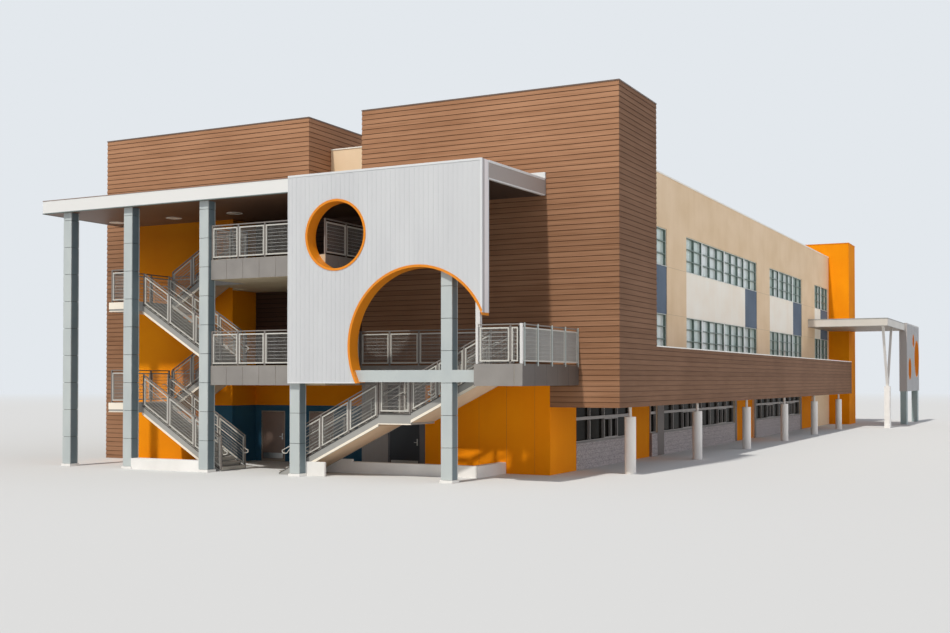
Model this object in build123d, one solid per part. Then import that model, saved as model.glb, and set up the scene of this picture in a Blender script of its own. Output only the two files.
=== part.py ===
"""School building, three storeys, as a scale model at 1:2. All sizes are model millimetres.

X runs along the front, Y away from it along the classroom block, Z up. The origin is the middle of the
ground slab's underside: X = 0 halfway across both towers, Y = 0 halfway along the classroom block.
"""

import math
import os

from build123d import *

# Whole building
storey_height = 2135
building_width = 12930
block_length = 29550
wall_thickness = 150
floor_thickness = 150
ground_slab_thickness = 50
parapet_height = 600
cap_thickness = 25
cap_overhang = 15

# Towers at the front and at the far end
tower_above_parapet = 565
tower_depth = 2220
right_tower_width = 5740
left_tower_width = 5820
tower_roof_drop = 260
far_tower_from_wall = 820
far_tower_width = 2995
far_tower_depth = 1550

# Terraces along both sides
terrace_width = 1425
terrace_soffit_level = 1325
terrace_soffit_thickness = 40
terrace_upstand = 430
band_thickness = 150
band_length = 24100

# Round columns under the terraces
round_column_diameter = 225
round_column_height = 1125
round_post_diameter = 60
round_column_start = 1100
round_column_end = 1845
round_column_inset = 175
round_column_count = 6

# Upper windows: start from the front wall line and length of each
upper_windows = [(3100, 4330), (9105, 7815), (18730, 5285), (26520, 2770)]
rear_window = (990, 5800)
window_sill = 430
window_head = 1370
blue_panel_length = 1500
frame_bar = 28
frame_depth = 60
frame_recess = 30
mullion_pitch = 780
glass_thickness = 15
panel_recess = 12

# Ground storey windows and coloured panels: start from the front wall line and length
ground_windows = [(1350, 3400), (6200, 430), (7150, 6900), (16750, 6900)]
ground_mullion_pitch = 860
orange_panels = [(4750, 1450), (14300, 2200), (23900, 2200)]
block_wall_height = 565
orange_panel_recess = 60

# Front wall between and under the towers
brown_strip_width = 730
orange_stair_wall_width = 3030
recess_depth = 850
deck_soffit_level = 1750
orange_corner_length = 1350
ribbed_panel_width = 640
surround_width = 890

# Doors: the lobby doors start at shares of the recess's width
door_height = 1065
door_thickness = 25
door_bottom = 55
door_gap = 5
door_frame = 25
lobby_door_width = 600
lobby_door_shares = [0.058, 0.443]
tower_door_width = 700
tower_door_jamb = 45
hinge_radius = 6
hinge_knuckle = 30
hinge_gap = 0.3
hinge_plate_width = 28
hinge_plate = 4
hinge_heights = [0.2, 0.8]
hinge_standoff = 8

# Front columns: right-hand faces measured from the middle of the front
column_width = 225
column_faces = [-5122.5, -3397.5, -1377.5, 857.5, 4177.5]
column_front = 2440
column_base_height = 50
column_base_overhang = 20

# Roof over the stairs and the screen wall
roof_front = 2525
stair_roof_left = -5880
stair_roof_bottom = 5465
stair_roof_top = 5745
screen_left = 645
screen_right = 4820
screen_bottom = 1795
screen_top = 5780
screen_thickness = 275
screen_roof_splay = 135
round_window_x = 1730
round_window_z = 4590
round_window_radius = 662.5
arch_x = 3490
arch_z = 2475
arch_radius = 1460
rim_thickness = 30
rim_projection = 10
screen_roof_bottom = 5455
upstand_height = 125
upstand_thickness = 60

# Decks, balcony and tie beams
deck_front = 2350
deck_edge_right = 1315
deck_third_thickness = 400
stair_strip_depth = 1200
walkway_depth = 1000
balcony_left = 4695
balcony_right = 5640
balcony_front = 2600
tie_beam_bottom = 1815
tie_beam_height = 220
balcony_post_width = 80
balcony_post_x = 4737
balcony_post_setback = 120

# Left stair: a long flight in front, a landing, a short flight behind
left_tread = 140
front_flight_risers = 16
rear_flight_risers = 9
landing_height = 1370
landing_length = 830
landing_right = -3405
landing_thickness = 200
landing_back = 300
front_flight_near = 2100
rear_flight_near = 1200
left_flight_width = 800
tread_thickness = 60
tread_nosing = 10
stringer_depth = 190
stringer_rise = 30
stringer_thickness = 30
soffit_thickness = 30

# Right stair: two flights in line with a landing between them
right_tread = 152.5
lower_flight_risers = 16
upper_flight_risers = 12
right_landing_length = 703
right_flight_near = 2150
right_flight_width = 900
right_stair_run_in = 143
right_guard_start = 335

# Guards
guard_height = 700
guard_post = 30
guard_rail = 22
guard_bottom_gap = 45
guard_pitch = 650
guard_edge = 20
guard_end_gap = 12

# Low walls on the ground
low_wall_height = 225
low_wall_thickness = 150
stair_low_wall_right = 4090
stair_low_wall_left = 700
stair_low_wall_near = 1240
bench_depth = 200

# Entrance canopy and screen at the far end
canopy_start = 25200
canopy_length = 5150
canopy_right = 7965
canopy_bottom = 3880
canopy_thickness = 300
pylon_start = 26400
pylon_length = 400
pylon_width = 200
pylon_height = 1600
pylon_inset = 100
v_post_spread = 1150
v_post_width = 90
entrance_screen_length = 4300
entrance_screen_thickness = 300
entrance_screen_overlap = 225
entrance_screen_bottom = 1375
entrance_screen_top = 4210
entrance_leg_length = 450
entrance_leg_inset = 30
entrance_holes = [(2200, 3520, 275), (3400, 2770, 800), (950, 2315, 460)]

# Places worked out from the sizes above
half_width = building_width / 2
front = -block_length / 2
rear = block_length / 2
tower_back = front + tower_depth
right_tower_left = half_width - right_tower_width
left_tower_right = left_tower_width - half_width
block_side = half_width - terrace_width
second_floor = storey_height
third_floor = 2 * storey_height
roof_level = 3 * storey_height
parapet_top = roof_level + parapet_height
tower_top = parapet_top + tower_above_parapet
second_soffit = second_floor - floor_thickness
band_top = second_floor + terrace_upstand
band_end = tower_back + band_length
band_inside = half_width - band_thickness
round_column_first = front + round_column_start
round_column_pitch = (band_end - round_column_end - round_column_first) / (round_column_count - 1)
stair_wall_left = brown_strip_width - half_width
recess_left = stair_wall_left + orange_stair_wall_width
recess_right = right_tower_left
recess_back = front + recess_depth
recess_wall_back = recess_back + wall_thickness
lobby_door_lefts = [recess_left + share * (recess_right - recess_left) for share in lobby_door_shares]
surround_left = recess_right + ribbed_panel_width
surround_right = surround_left + surround_width
door_head = door_bottom + door_height + door_gap
lobby_head = door_head + door_frame
screen_front = front - roof_front
screen_back = screen_front + screen_thickness
arch_inner_radius = arch_radius - rim_thickness
left_flight_rise = landing_height / front_flight_risers
left_short_rise = (storey_height - landing_height) / rear_flight_risers
stair_foot = landing_right + (front_flight_risers - 1) * left_tread
strip_left = landing_right + (rear_flight_risers - 1) * left_tread
right_rise = storey_height / (lower_flight_risers + upper_flight_risers)
right_landing_level = lower_flight_risers * right_rise
right_stair_top = balcony_left + right_stair_run_in
right_landing_right = right_stair_top - (upper_flight_risers - 1) * right_tread
right_landing_left = right_landing_right - right_landing_length
right_stair_foot = right_landing_left - (lower_flight_risers - 1) * right_tread
far_tower_right = block_side + far_tower_from_wall
far_tower_left = far_tower_right - far_tower_width
canopy_end = front + canopy_start + canopy_length
canopy_top = canopy_bottom + canopy_thickness


def block(x0, x1, y0, y1, z0, z1):
    """An upright box between two corners."""
    corner = (Align.MIN, Align.MIN, Align.MIN)
    return Pos(x0, y0, z0) * Box(x1 - x0, y1 - y0, z1 - z0, align=corner)


def fuse(shapes):
    """All shapes as one solid."""
    whole = shapes[0]
    for shape in shapes[1:]:
        whole = whole + shape
    return whole


def profile_xz(points, y0, y1):
    """An outline in the XZ plane, extruded from y0 to y1."""
    outline = make_face(Polyline(*[(x, y0, z) for x, z in points], close=True))
    return extrude(outline, amount=y1 - y0, dir=(0, 1, 0))


def profile_yz(points, x0, x1):
    """An outline in the YZ plane, extruded from x0 to x1."""
    outline = make_face(Polyline(*[(x0, y, z) for y, z in points], close=True))
    return extrude(outline, amount=x1 - x0, dir=(1, 0, 0))


def drum_y(x, z, radius, y0, y1):
    """A round bar lying along Y."""
    return Pos(x, (y0 + y1) / 2, z) * Rot(90, 0, 0) * Cylinder(radius, y1 - y0)


def drum_x(y, z, radius, x0, x1):
    """A round bar lying along X."""
    return Pos((x0 + x1) / 2, y, z) * Rot(0, 90, 0) * Cylinder(radius, x1 - x0)


def drum_z(x, y, radius, z0, z1):
    """A round bar standing upright."""
    return Pos(x, y, (z0 + z1) / 2) * Cylinder(radius, z1 - z0)


def mirrored(shapes):
    """The same pieces on the other side of the building."""
    return [mirror(shape, about=Plane.YZ) for shape in shapes]


def save(name, shapes):
    """Writes one piece, which may be several solids that don't touch."""
    solids = [solid for shape in shapes for solid in shape.solids()]
    export_step(Compound(children=solids), f"parts/{name}.step")


# Floors and roof of the classroom block
def ground_slab():
    block_part = block(-block_side + wall_thickness, block_side - wall_thickness,
                       front + wall_thickness, rear - wall_thickness, 0, ground_slab_thickness)
    tower_part = block(-half_width + wall_thickness, -block_side + wall_thickness,
                       front + wall_thickness, tower_back - wall_thickness, 0, ground_slab_thickness)
    return block_part + tower_part - recess_space(0, ground_slab_thickness)


def recess_space(bottom, top):
    """The recess in the front wall, with its own walls."""
    return block(recess_left - wall_thickness, recess_right + wall_thickness,
                 front, recess_wall_back, bottom, top)


def upper_floor(level):
    bottom = level - floor_thickness
    block_part = block(-block_side + wall_thickness, block_side - wall_thickness,
                       tower_back - wall_thickness, rear - wall_thickness, bottom, level)
    tower_part = block(-half_width + wall_thickness, half_width - wall_thickness,
                       front + wall_thickness, tower_back - wall_thickness, bottom, level)
    return block_part + tower_part - recess_space(bottom, level)


def main_roof_slab():
    bottom = roof_level - floor_thickness
    block_part = block(-block_side + wall_thickness, block_side - wall_thickness,
                       tower_back, rear - wall_thickness, bottom, roof_level)
    between_towers = block(left_tower_right, right_tower_left,
                           recess_wall_back, tower_back, bottom, roof_level)
    return block_part + between_towers


# Long walls of the classroom block with their window openings
def upper_window_spans():
    return [(front + start, front + start + length) for start, length in upper_windows]


def ground_window_spans():
    return [(front + start, front + start + length) for start, length in ground_windows]


def orange_panel_spans():
    return [(front + start, front + start + length) for start, length in orange_panels]


def side_wall(ground_start):
    inside = block_side - wall_thickness
    lower = block(inside, block_side, ground_start, rear, 0, second_soffit)
    upper = block(inside, block_side, tower_back, rear, second_soffit, parapet_top - cap_thickness)
    wall = lower + upper
    for start, end in upper_window_spans():
        wall -= block(inside, block_side, start, end, second_floor + window_sill, third_floor + window_head)
    for start, end in ground_window_spans() + orange_panel_spans():
        if start >= ground_start - 1:
            wall -= block(inside, block_side, start, end, 0, terrace_soffit_level)
    return wall


def rear_wall():
    start, length = rear_window
    left = -block_side + start
    inside = block_side - wall_thickness
    wall = block(-inside, inside, rear - wall_thickness, rear, 0, parapet_top - cap_thickness)
    wall -= block(left, left + length, rear - wall_thickness, rear,
                  second_floor + window_sill, third_floor + window_head)
    wall -= block(left, left + length, rear - wall_thickness, rear, block_wall_height, terrace_soffit_level)
    return wall


def spandrel(start, end):
    """Panel between the window of one storey and the next, in one long wall."""
    return block(block_side - wall_thickness, block_side - panel_recess, start, end,
                 second_floor + window_head, third_floor + window_sill)


def pale_spandrels():
    panels = [spandrel(start, end - blue_panel_length) for start, end in upper_window_spans()]
    start, length = rear_window
    rear_panel = block(-block_side + start + blue_panel_length, -block_side + start + length,
                       rear - wall_thickness, rear - panel_recess,
                       second_floor + window_head, third_floor + window_sill)
    return panels + mirrored(panels) + [rear_panel]


def blue_spandrels():
    panels = [spandrel(end - blue_panel_length, end) for start, end in upper_window_spans()]
    start, length = rear_window
    rear_panel = block(-block_side + start, -block_side + start + blue_panel_length,
                       rear - wall_thickness, rear - panel_recess,
                       second_floor + window_head, third_floor + window_sill)
    return panels + mirrored(panels) + [rear_panel]


def window_frame(start, end, bottom, top, pane_pitch=mullion_pitch):
    """A row of panes in the right-hand wall: outer frame and mullions."""
    outer = block_side - frame_recess
    inner = outer - frame_depth
    frame = block(inner, outer, start, end, bottom, top)
    panes = max(1, round((end - start) / pane_pitch))
    pitch = (end - start - frame_bar) / panes
    for index in range(panes):
        pane_start = start + frame_bar + index * pitch
        frame -= block(inner, outer, pane_start, pane_start + pitch - frame_bar,
                       bottom + frame_bar, top - frame_bar)
    return frame


def window_glass(start, end, bottom, top):
    """One sheet of glass behind a row of panes."""
    outer = block_side - frame_recess - frame_depth
    return block(outer - glass_thickness, outer, start, end, bottom, top)


def at_rear(shape):
    """Turns a piece of the right-hand wall so that it stands in the rear wall."""
    return Pos(0, rear - block_side, 0) * Rot(0, 0, 90) * shape


def upper_row(maker):
    """Frames or glass of both upper storeys on the two sides and at the rear."""
    pieces = []
    rear_pieces = []
    start, length = rear_window
    for floor in (second_floor, third_floor):
        for near, far in upper_window_spans():
            pieces.append(maker(near, far, floor + window_sill, floor + window_head))
        turned = maker(block_side - start - length, block_side - start,
                       floor + window_sill, floor + window_head)
        rear_pieces.append(at_rear(turned))
    return pieces + mirrored(pieces) + rear_pieces


def ground_window_frame(start, end, bottom, top):
    return window_frame(start, end, bottom, top, ground_mullion_pitch)


def ground_row(maker):
    pieces = [maker(near, far, block_wall_height, terrace_soffit_level) for near, far in ground_window_spans()]
    left_pieces = [piece for piece, span in zip(pieces, ground_window_spans()) if span[0] > tower_back - 1]
    start, length = rear_window
    turned = maker(block_side - start - length, block_side - start, block_wall_height, terrace_soffit_level)
    return pieces + mirrored(left_pieces) + [at_rear(turned)]


def ground_block_walls():
    inside = block_side - wall_thickness
    pieces = [block(inside, block_side, near, far, 0, block_wall_height) for near, far in ground_window_spans()]
    left_pieces = [piece for piece, span in zip(pieces, ground_window_spans()) if span[0] > tower_back - 1]
    return pieces + mirrored(left_pieces)


def orange_wall_panels():
    pieces = [block(block_side - wall_thickness, block_side - orange_panel_recess, near, far,
                    0, terrace_soffit_level) for near, far in orange_panel_spans()]
    return pieces + mirrored(pieces)


# Terraces
def terrace_decks():
    right_soffit = block(block_side, band_inside, front + wall_thickness, band_end - band_thickness,
                         terrace_soffit_level, terrace_soffit_level + terrace_soffit_thickness)
    left_soffit = block(-band_inside, -block_side, tower_back, band_end - band_thickness,
                        terrace_soffit_level, terrace_soffit_level + terrace_soffit_thickness)
    slab = block(block_side, band_inside, tower_back, band_end - band_thickness, second_soffit, second_floor)
    return [right_soffit, left_soffit, slab] + mirrored([slab])


def terrace_bands():
    side = block(band_inside, half_width, tower_back, band_end, terrace_soffit_level, band_top - cap_thickness)
    end = block(block_side, band_inside, band_end - band_thickness, band_end,
                terrace_soffit_level, band_top - cap_thickness)
    band = side + end
    return [band] + mirrored([band])


def round_columns():
    pieces = []
    for index in range(round_column_count):
        x = half_width - round_column_inset
        y = round_column_first + index * round_column_pitch
        shaft = drum_z(x, y, round_column_diameter / 2, 0, round_column_height)
        post = drum_z(x, y, round_post_diameter / 2, round_column_height, terrace_soffit_level)
        column = shaft + post
        pieces.append(column)
        if y > tower_back:
            pieces += mirrored([column])
    return pieces


# Towers
def right_tower_walls():
    top = tower_top - cap_thickness
    back_bottom = roof_level - floor_thickness
    return fuse([
        block(right_tower_left, half_width, front, front + wall_thickness, deck_soffit_level, top),
        block(block_side, half_width, front, front + wall_thickness, terrace_soffit_level, deck_soffit_level),
        block(band_inside, half_width, front, tower_back, terrace_soffit_level, top),
        block(block_side - wall_thickness, half_width, tower_back - wall_thickness, tower_back,
              second_soffit, top),
        block(right_tower_left, half_width, tower_back - wall_thickness, tower_back, back_bottom, top),
        block(right_tower_left, right_tower_left + wall_thickness, front, tower_back, stair_roof_top, top),
    ])


def left_tower_walls():
    top = tower_top - cap_thickness
    back_bottom = roof_level - floor_thickness
    return fuse([
        block(-half_width, left_tower_right, front, front + wall_thickness, stair_roof_top, top),
        block(-half_width, stair_wall_left, front, front + wall_thickness, 0, stair_roof_top),
        block(-half_width, -half_width + wall_thickness, front, tower_back, 0, top),
        block(-half_width, -block_side, tower_back - wall_thickness, tower_back, 0, top),
        block(-block_side, -block_side + wall_thickness, tower_back - wall_thickness, tower_back,
              second_soffit, top),
        block(-half_width, left_tower_right, tower_back - wall_thickness, tower_back, back_bottom, top),
        block(left_tower_right - wall_thickness, left_tower_right, front, tower_back, stair_roof_top, top),
    ])


def tower_roofs():
    top = tower_top - tower_roof_drop
    right = block(right_tower_left + wall_thickness, half_width - wall_thickness,
                  front + wall_thickness, tower_back - wall_thickness, top - floor_thickness, top)
    left = block(-half_width + wall_thickness, left_tower_right - wall_thickness,
                 front + wall_thickness, tower_back - wall_thickness, top - floor_thickness, top)
    return [right, left]


def cap_ring(x0, x1, y0, y1, top):
    """A thin metal coping round the top of a tower."""
    out = cap_overhang
    inner = wall_thickness + cap_overhang
    outside = block(x0 - out, x1 + out, y0 - out, y1 + out, top - cap_thickness, top)
    inside = block(x0 + inner, x1 - inner, y0 + inner, y1 - inner, top - cap_thickness, top)
    return outside - inside


def tower_caps():
    right_tower = cap_ring(right_tower_left, half_width, front, tower_back, tower_top)
    left_tower = cap_ring(-half_width, left_tower_right, front, tower_back, tower_top)
    return [right_tower, left_tower]


def far_tower_cap():
    return cap_ring(far_tower_left, far_tower_right, rear, rear + far_tower_depth, tower_top)


def wall_caps():
    bottom = parapet_top - cap_thickness
    out = cap_overhang
    outside = block(-block_side - out, block_side + out, tower_back, rear, bottom, parapet_top)
    inner_side = block_side - wall_thickness - out
    parapet = outside - block(-inner_side, inner_side, tower_back, rear - wall_thickness - out,
                              bottom, parapet_top)
    middle = block(left_tower_right, right_tower_left, recess_back - out, recess_wall_back + out,
                   bottom, parapet_top)
    band_bottom = band_top - cap_thickness
    band = block(band_inside - out, half_width + out, tower_back, band_end + out, band_bottom, band_top)
    band += block(block_side, band_inside, band_end - band_thickness - out, band_end + out,
                  band_bottom, band_top)
    return [parapet, middle, band] + mirrored([band])


def far_tower():
    outside = block(far_tower_left, far_tower_right, rear, rear + far_tower_depth,
                    0, tower_top - cap_thickness)
    t = wall_thickness
    inside = block(far_tower_left + t, far_tower_right - t, rear + t, rear + far_tower_depth - t,
                   0, tower_top - tower_roof_drop)
    return outside - inside


# Front wall, recess and doors
def middle_front_wall():
    return block(left_tower_right, right_tower_left, recess_back, recess_wall_back,
                 stair_roof_top, parapet_top - cap_thickness)


def orange_stair_wall():
    wall = block(stair_wall_left, recess_left, front, front + wall_thickness, 0, stair_roof_bottom)
    pier = block(recess_left - wall_thickness, recess_left, front + wall_thickness, recess_wall_back,
                 0, stair_roof_bottom)
    return wall + pier


def recess_side_wall():
    return block(recess_right, recess_right + wall_thickness, front + wall_thickness, recess_wall_back,
                 0, stair_roof_top)


def recess_back_wall():
    return block(recess_left, recess_right, recess_back, recess_wall_back,
                 deck_soffit_level, stair_roof_bottom)


def lobby_bulkhead():
    return block(recess_left, recess_right, recess_back, recess_wall_back, lobby_head, deck_soffit_level)


def lobby_door_edges():
    """Left and right edges of the two door frames in the lobby wall."""
    margin = door_frame + door_gap
    return [(left - margin, left + lobby_door_width + margin) for left in lobby_door_lefts]


def lobby_wall():
    edges = [recess_left]
    for left, right in lobby_door_edges():
        edges += [left, right]
    edges.append(recess_right)
    return [block(left, right, recess_back, recess_wall_back, 0, lobby_head)
            for left, right in zip(edges[::2], edges[1::2])]


def hinge_levels():
    return [door_bottom + share * door_height for share in hinge_heights]


def frame_hinge(x, y, level):
    """Fixed half of a hinge: two knuckles with their plates on the face of the frame."""
    parts = []
    for side in (-1, 1):
        middle = level + side * (hinge_knuckle + hinge_gap)
        low = middle - hinge_knuckle / 2
        high = middle + hinge_knuckle / 2
        parts.append(drum_z(x, y - hinge_standoff, hinge_radius, low, high))
        parts.append(block(x - hinge_plate_width, x, y - hinge_plate, y, low, high))
    return parts


def leaf_hinge(x, y, level):
    """Moving half of a hinge: the middle knuckle with its plate on the leaf."""
    low = level - hinge_knuckle / 2
    high = level + hinge_knuckle / 2
    knuckle = drum_z(x, y - hinge_standoff, hinge_radius, low, high)
    plate = block(x + door_gap / 2, x + hinge_plate_width, y - hinge_plate, y, low, high)
    return [knuckle, plate]


def door_leaf(left, width, y):
    """A flush door hung on its left edge, its front face in the plane y."""
    leaf = block(left, left + width, y, y + door_thickness, door_bottom, door_bottom + door_height)
    parts = [leaf]
    for level in hinge_levels():
        parts += leaf_hinge(left - door_gap / 2, y, level)
    return fuse(parts)


def lobby_door_frame(left, right):
    """Frame round one lobby door, with a threshold and the fixed hinge halves."""
    outside = block(left, right, recess_back, recess_wall_back, 0, lobby_head)
    hole = block(left + door_frame, right - door_frame, recess_back, recess_wall_back,
                 ground_slab_thickness, door_head)
    parts = [outside - hole]
    for level in hinge_levels():
        parts += frame_hinge(left + door_frame + door_gap / 2, recess_back, level)
    return fuse(parts)


def lobby_door(index):
    return door_leaf(lobby_door_lefts[index], lobby_door_width, recess_back)


def tower_door_left():
    return surround_left + tower_door_jamb + door_gap


def tower_door():
    return door_leaf(tower_door_left(), tower_door_width, front)


def tower_door_surround():
    outside = block(surround_left, surround_right, front, front + wall_thickness, 0, deck_soffit_level)
    left = tower_door_left() - door_gap
    hole = block(left, left + tower_door_width + 2 * door_gap, front, front + wall_thickness,
                 ground_slab_thickness, door_head)
    parts = [outside - hole]
    for level in hinge_levels():
        parts += frame_hinge(left + door_gap / 2, front, level)
    return fuse(parts)


def ribbed_panel_wall():
    return block(recess_right, surround_left, front, front + wall_thickness, 0, deck_soffit_level)


def orange_front_wall():
    wall = block(surround_right, block_side, front, front + wall_thickness, 0, deck_soffit_level)
    corner = block(block_side - wall_thickness, block_side, front + wall_thickness,
                   front + orange_corner_length, 0, second_soffit)
    return wall + corner


# Screen wall with its round window and arch
def arch_space(radius, y0, y1):
    """Space under the arch: a circle that runs on down and out to the right."""
    circle = drum_y(arch_x, arch_z, radius, y0, y1)
    below = block(arch_x, screen_right, y0, y1, screen_bottom, arch_z)
    return circle + below


def screen_wall():
    wall = block(screen_left, screen_right, screen_front, screen_back, screen_bottom, screen_top)
    wall -= drum_y(round_window_x, round_window_z, round_window_radius, screen_front, screen_back)
    return wall - arch_space(arch_radius, screen_front, screen_back)


def round_window_rim():
    near = screen_front - rim_projection
    ring = drum_y(round_window_x, round_window_z, round_window_radius, near, screen_back)
    return ring - drum_y(round_window_x, round_window_z, round_window_radius - rim_thickness,
                         near, screen_back)


def arch_rim():
    near = screen_front - rim_projection
    ring = drum_y(arch_x, arch_z, arch_radius, near, screen_back)
    ring -= drum_y(arch_x, arch_z, arch_inner_radius, near, screen_back)
    ring -= block(arch_x, arch_x + 2 * arch_radius, near, screen_back, arch_z - 2 * arch_radius, arch_z)
    return ring & block(arch_x - 2 * arch_radius, screen_right, near, screen_back,
                        screen_bottom, arch_z + 2 * arch_radius)


def under_arch(shape):
    """Cuts a post or beam where it meets the arch."""
    far = front - column_front + column_width
    solid_screen = block(screen_left, screen_right, screen_front, far, screen_bottom, screen_top)
    return shape - (solid_screen - arch_space(arch_inner_radius, screen_front, far))


def screen_roof():
    """Its right-hand edge splays out a little towards the tower."""
    splayed = screen_right + screen_roof_splay
    outline = make_face(Polyline((screen_left, screen_back), (screen_right, screen_back),
                                 (splayed, front), (screen_left, front), close=True))
    roof = Pos(0, 0, screen_roof_bottom) * extrude(outline, amount=screen_top - screen_roof_bottom,
                                                   dir=(0, 0, 1))
    return roof + block(screen_left, splayed, front - upstand_thickness, front,
                        screen_roof_bottom, screen_top + upstand_height)


def stair_roof():
    return fuse([
        block(stair_roof_left, screen_left, screen_front, front, stair_roof_bottom, stair_roof_top),
        block(stair_wall_left, recess_right, front, front + wall_thickness,
              stair_roof_bottom, stair_roof_top),
        block(recess_left - wall_thickness, recess_right, front + wall_thickness, recess_wall_back,
              stair_roof_bottom, stair_roof_top),
    ])


# Columns, beams and decks in front
def front_columns():
    tops = [stair_roof_bottom, stair_roof_bottom, stair_roof_bottom, screen_bottom, arch_z + arch_radius]
    near = front - column_front
    out = column_base_overhang
    columns = []
    for face, top in zip(column_faces, tops):
        left = face - column_width
        shaft = block(left, face, near, near + column_width, 0, top)
        if top > stair_roof_bottom - 1 or top < arch_z:
            column = shaft
        else:
            column = under_arch(shaft)
        base = block(left - out, face + out, near - out, near + column_width + out, 0, column_base_height)
        columns.append(column + base)
    return columns


def tie_beams():
    top = tie_beam_bottom + tie_beam_height
    near = front - column_front
    far = near + column_width
    last = column_faces[-1]
    left_beam = under_arch(block(arch_x - arch_radius, last - column_width, near, far, tie_beam_bottom, top))
    right_beam = block(last, balcony_left, near, far, tie_beam_bottom, top)
    half = balcony_post_width / 2
    middle = front - balcony_front + balcony_post_setback
    post = block(balcony_post_x - half, balcony_post_x + half, middle - half, middle + half,
                 second_floor, arch_z + arch_radius)
    return [left_beam, right_beam, under_arch(post)]


def deck_outline(bottom, top):
    """Deck pieces that the second and third floors share."""
    inner_column = column_faces[2]
    screen_column = column_faces[3] - column_width
    return [
        block(inner_column, screen_column, front - deck_front, front, bottom, top),
        block(screen_column, deck_edge_right, screen_back, front, bottom, top),
        block(strip_left, inner_column, front - stair_strip_depth, front, bottom, top),
        block(recess_left, recess_right, front, recess_back, bottom, top),
    ]


def second_floor_deck():
    walkway = block(deck_edge_right, balcony_left, front - walkway_depth, front,
                    deck_soffit_level, second_floor)
    face = column_faces[3]
    column_top = block(face - column_width, face, front - column_front,
                       front - column_front + column_width, 0, screen_bottom)
    return fuse(deck_outline(deck_soffit_level, second_floor) + [walkway]) - column_top


def third_floor_deck():
    return fuse(deck_outline(third_floor - deck_third_thickness, third_floor))


def balcony():
    """The top of the right stair runs into a notch in its left edge."""
    slab = block(balcony_left, balcony_right, front - balcony_front, front, deck_soffit_level, second_floor)
    near = front - right_flight_near
    return slab - block(balcony_left, right_stair_top, near, near + right_flight_width,
                        deck_soffit_level, second_floor)


# Stairs
def treads(x_low, z_low, step, rise, count, y0, y1):
    """Step boards of one flight; step is negative where the flight climbs to the left."""
    boards = []
    for index in range(count):
        x = x_low + index * step
        nose = -tread_nosing if step > 0 else tread_nosing
        level = z_low + (index + 1) * rise
        left = min(x + nose, x + step)
        right = max(x + nose, x + step)
        boards.append(block(left, right, y0, y1, level - tread_thickness, level))
    return boards


def sloped_side(x_low, z_low, x_high, z_high, above, below, y0, y1):
    """A raking board: cut level where it stands on a floor, upright where it leaves a landing."""
    slope = (z_high - z_low) / (x_high - x_low)
    x_cut = x_low + below / slope
    points = [(x_low, z_low + above), (x_high, z_high + above), (x_high, z_high - below)]
    if on_floor(z_low):
        points += [(x_cut, z_low), (x_low, z_low)]
    else:
        points += [(x_low, z_low - below)]
    return profile_xz(points, y0, y1)


def on_floor(level):
    """Whether a flight starts on the ground or on a deck, not on a landing."""
    return level in (0, second_floor)


def flight_sides(x_low, z_low, x_high, z_high, y0, y1):
    """Two stringers outside the treads and the soffit board between them."""
    t = stringer_thickness
    down = stringer_depth - stringer_rise
    near = sloped_side(x_low, z_low, x_high, z_high, stringer_rise, down, y0 - t, y0)
    far = sloped_side(x_low, z_low, x_high, z_high, stringer_rise, down, y1, y1 + t)
    return [near, far]


def flight_soffit(x_low, z_low, x_high, z_high, y0, y1):
    slope = (z_high - z_low) / (x_high - x_low)
    down = stringer_depth - stringer_rise
    up = down - soffit_thickness
    points = [(x_high, z_high - up), (x_high, z_high - down)]
    if on_floor(z_low):
        points += [(x_low + down / slope, z_low), (x_low + up / slope, z_low)]
    else:
        points += [(x_low, z_low - down), (x_low, z_low - up)]
    return profile_xz(points, y0, y1)


def left_flights():
    """Start and end of each flight of the left stair, with its near and far edges."""
    flights = []
    for base in (0, second_floor):
        near = front - front_flight_near
        flights.append((stair_foot, base, -left_tread, left_flight_rise, front_flight_risers, near))
        near = front - rear_flight_near
        flights.append((landing_right, base + landing_height, left_tread, left_short_rise,
                        rear_flight_risers, near))
    return flights


def right_flights():
    near = front - right_flight_near
    return [
        (right_stair_foot, 0, right_tread, right_rise, lower_flight_risers, near),
        (right_landing_right, right_landing_level, right_tread, right_rise, upper_flight_risers, near),
    ]


def stair_treads(flights, width):
    boards = []
    for x, z, step, rise, risers, near in flights:
        boards += treads(x, z, step, rise, risers - 1, near + stringer_thickness,
                         near + width - stringer_thickness)
    return boards


def stair_sides(flights, width):
    sides = []
    for x, z, step, rise, risers, near in flights:
        x_high = x + (risers - 1) * step
        z_high = z + (risers - 1) * rise
        sides += flight_sides(x, z, x_high, z_high, near + stringer_thickness,
                              near + width - stringer_thickness)
    return sides


def stair_soffits(flights, width):
    soffits = []
    for x, z, step, rise, risers, near in flights:
        x_high = x + (risers - 1) * step
        z_high = z + (risers - 1) * rise
        soffits.append(flight_soffit(x, z, x_high, z_high, near + stringer_thickness,
                                     near + width - stringer_thickness))
    return soffits


def stair_landings():
    left = landing_right - landing_length
    near = front - column_front + column_width
    landings = [block(left, landing_right, near, front - landing_back,
                      base + landing_height - landing_thickness, base + landing_height)
                for base in (0, second_floor)]
    near = front - right_flight_near
    right_one = block(right_landing_left, right_landing_right, near, near + right_flight_width,
                      right_landing_level - landing_thickness, right_landing_level)
    return landings + [right_one]


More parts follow.
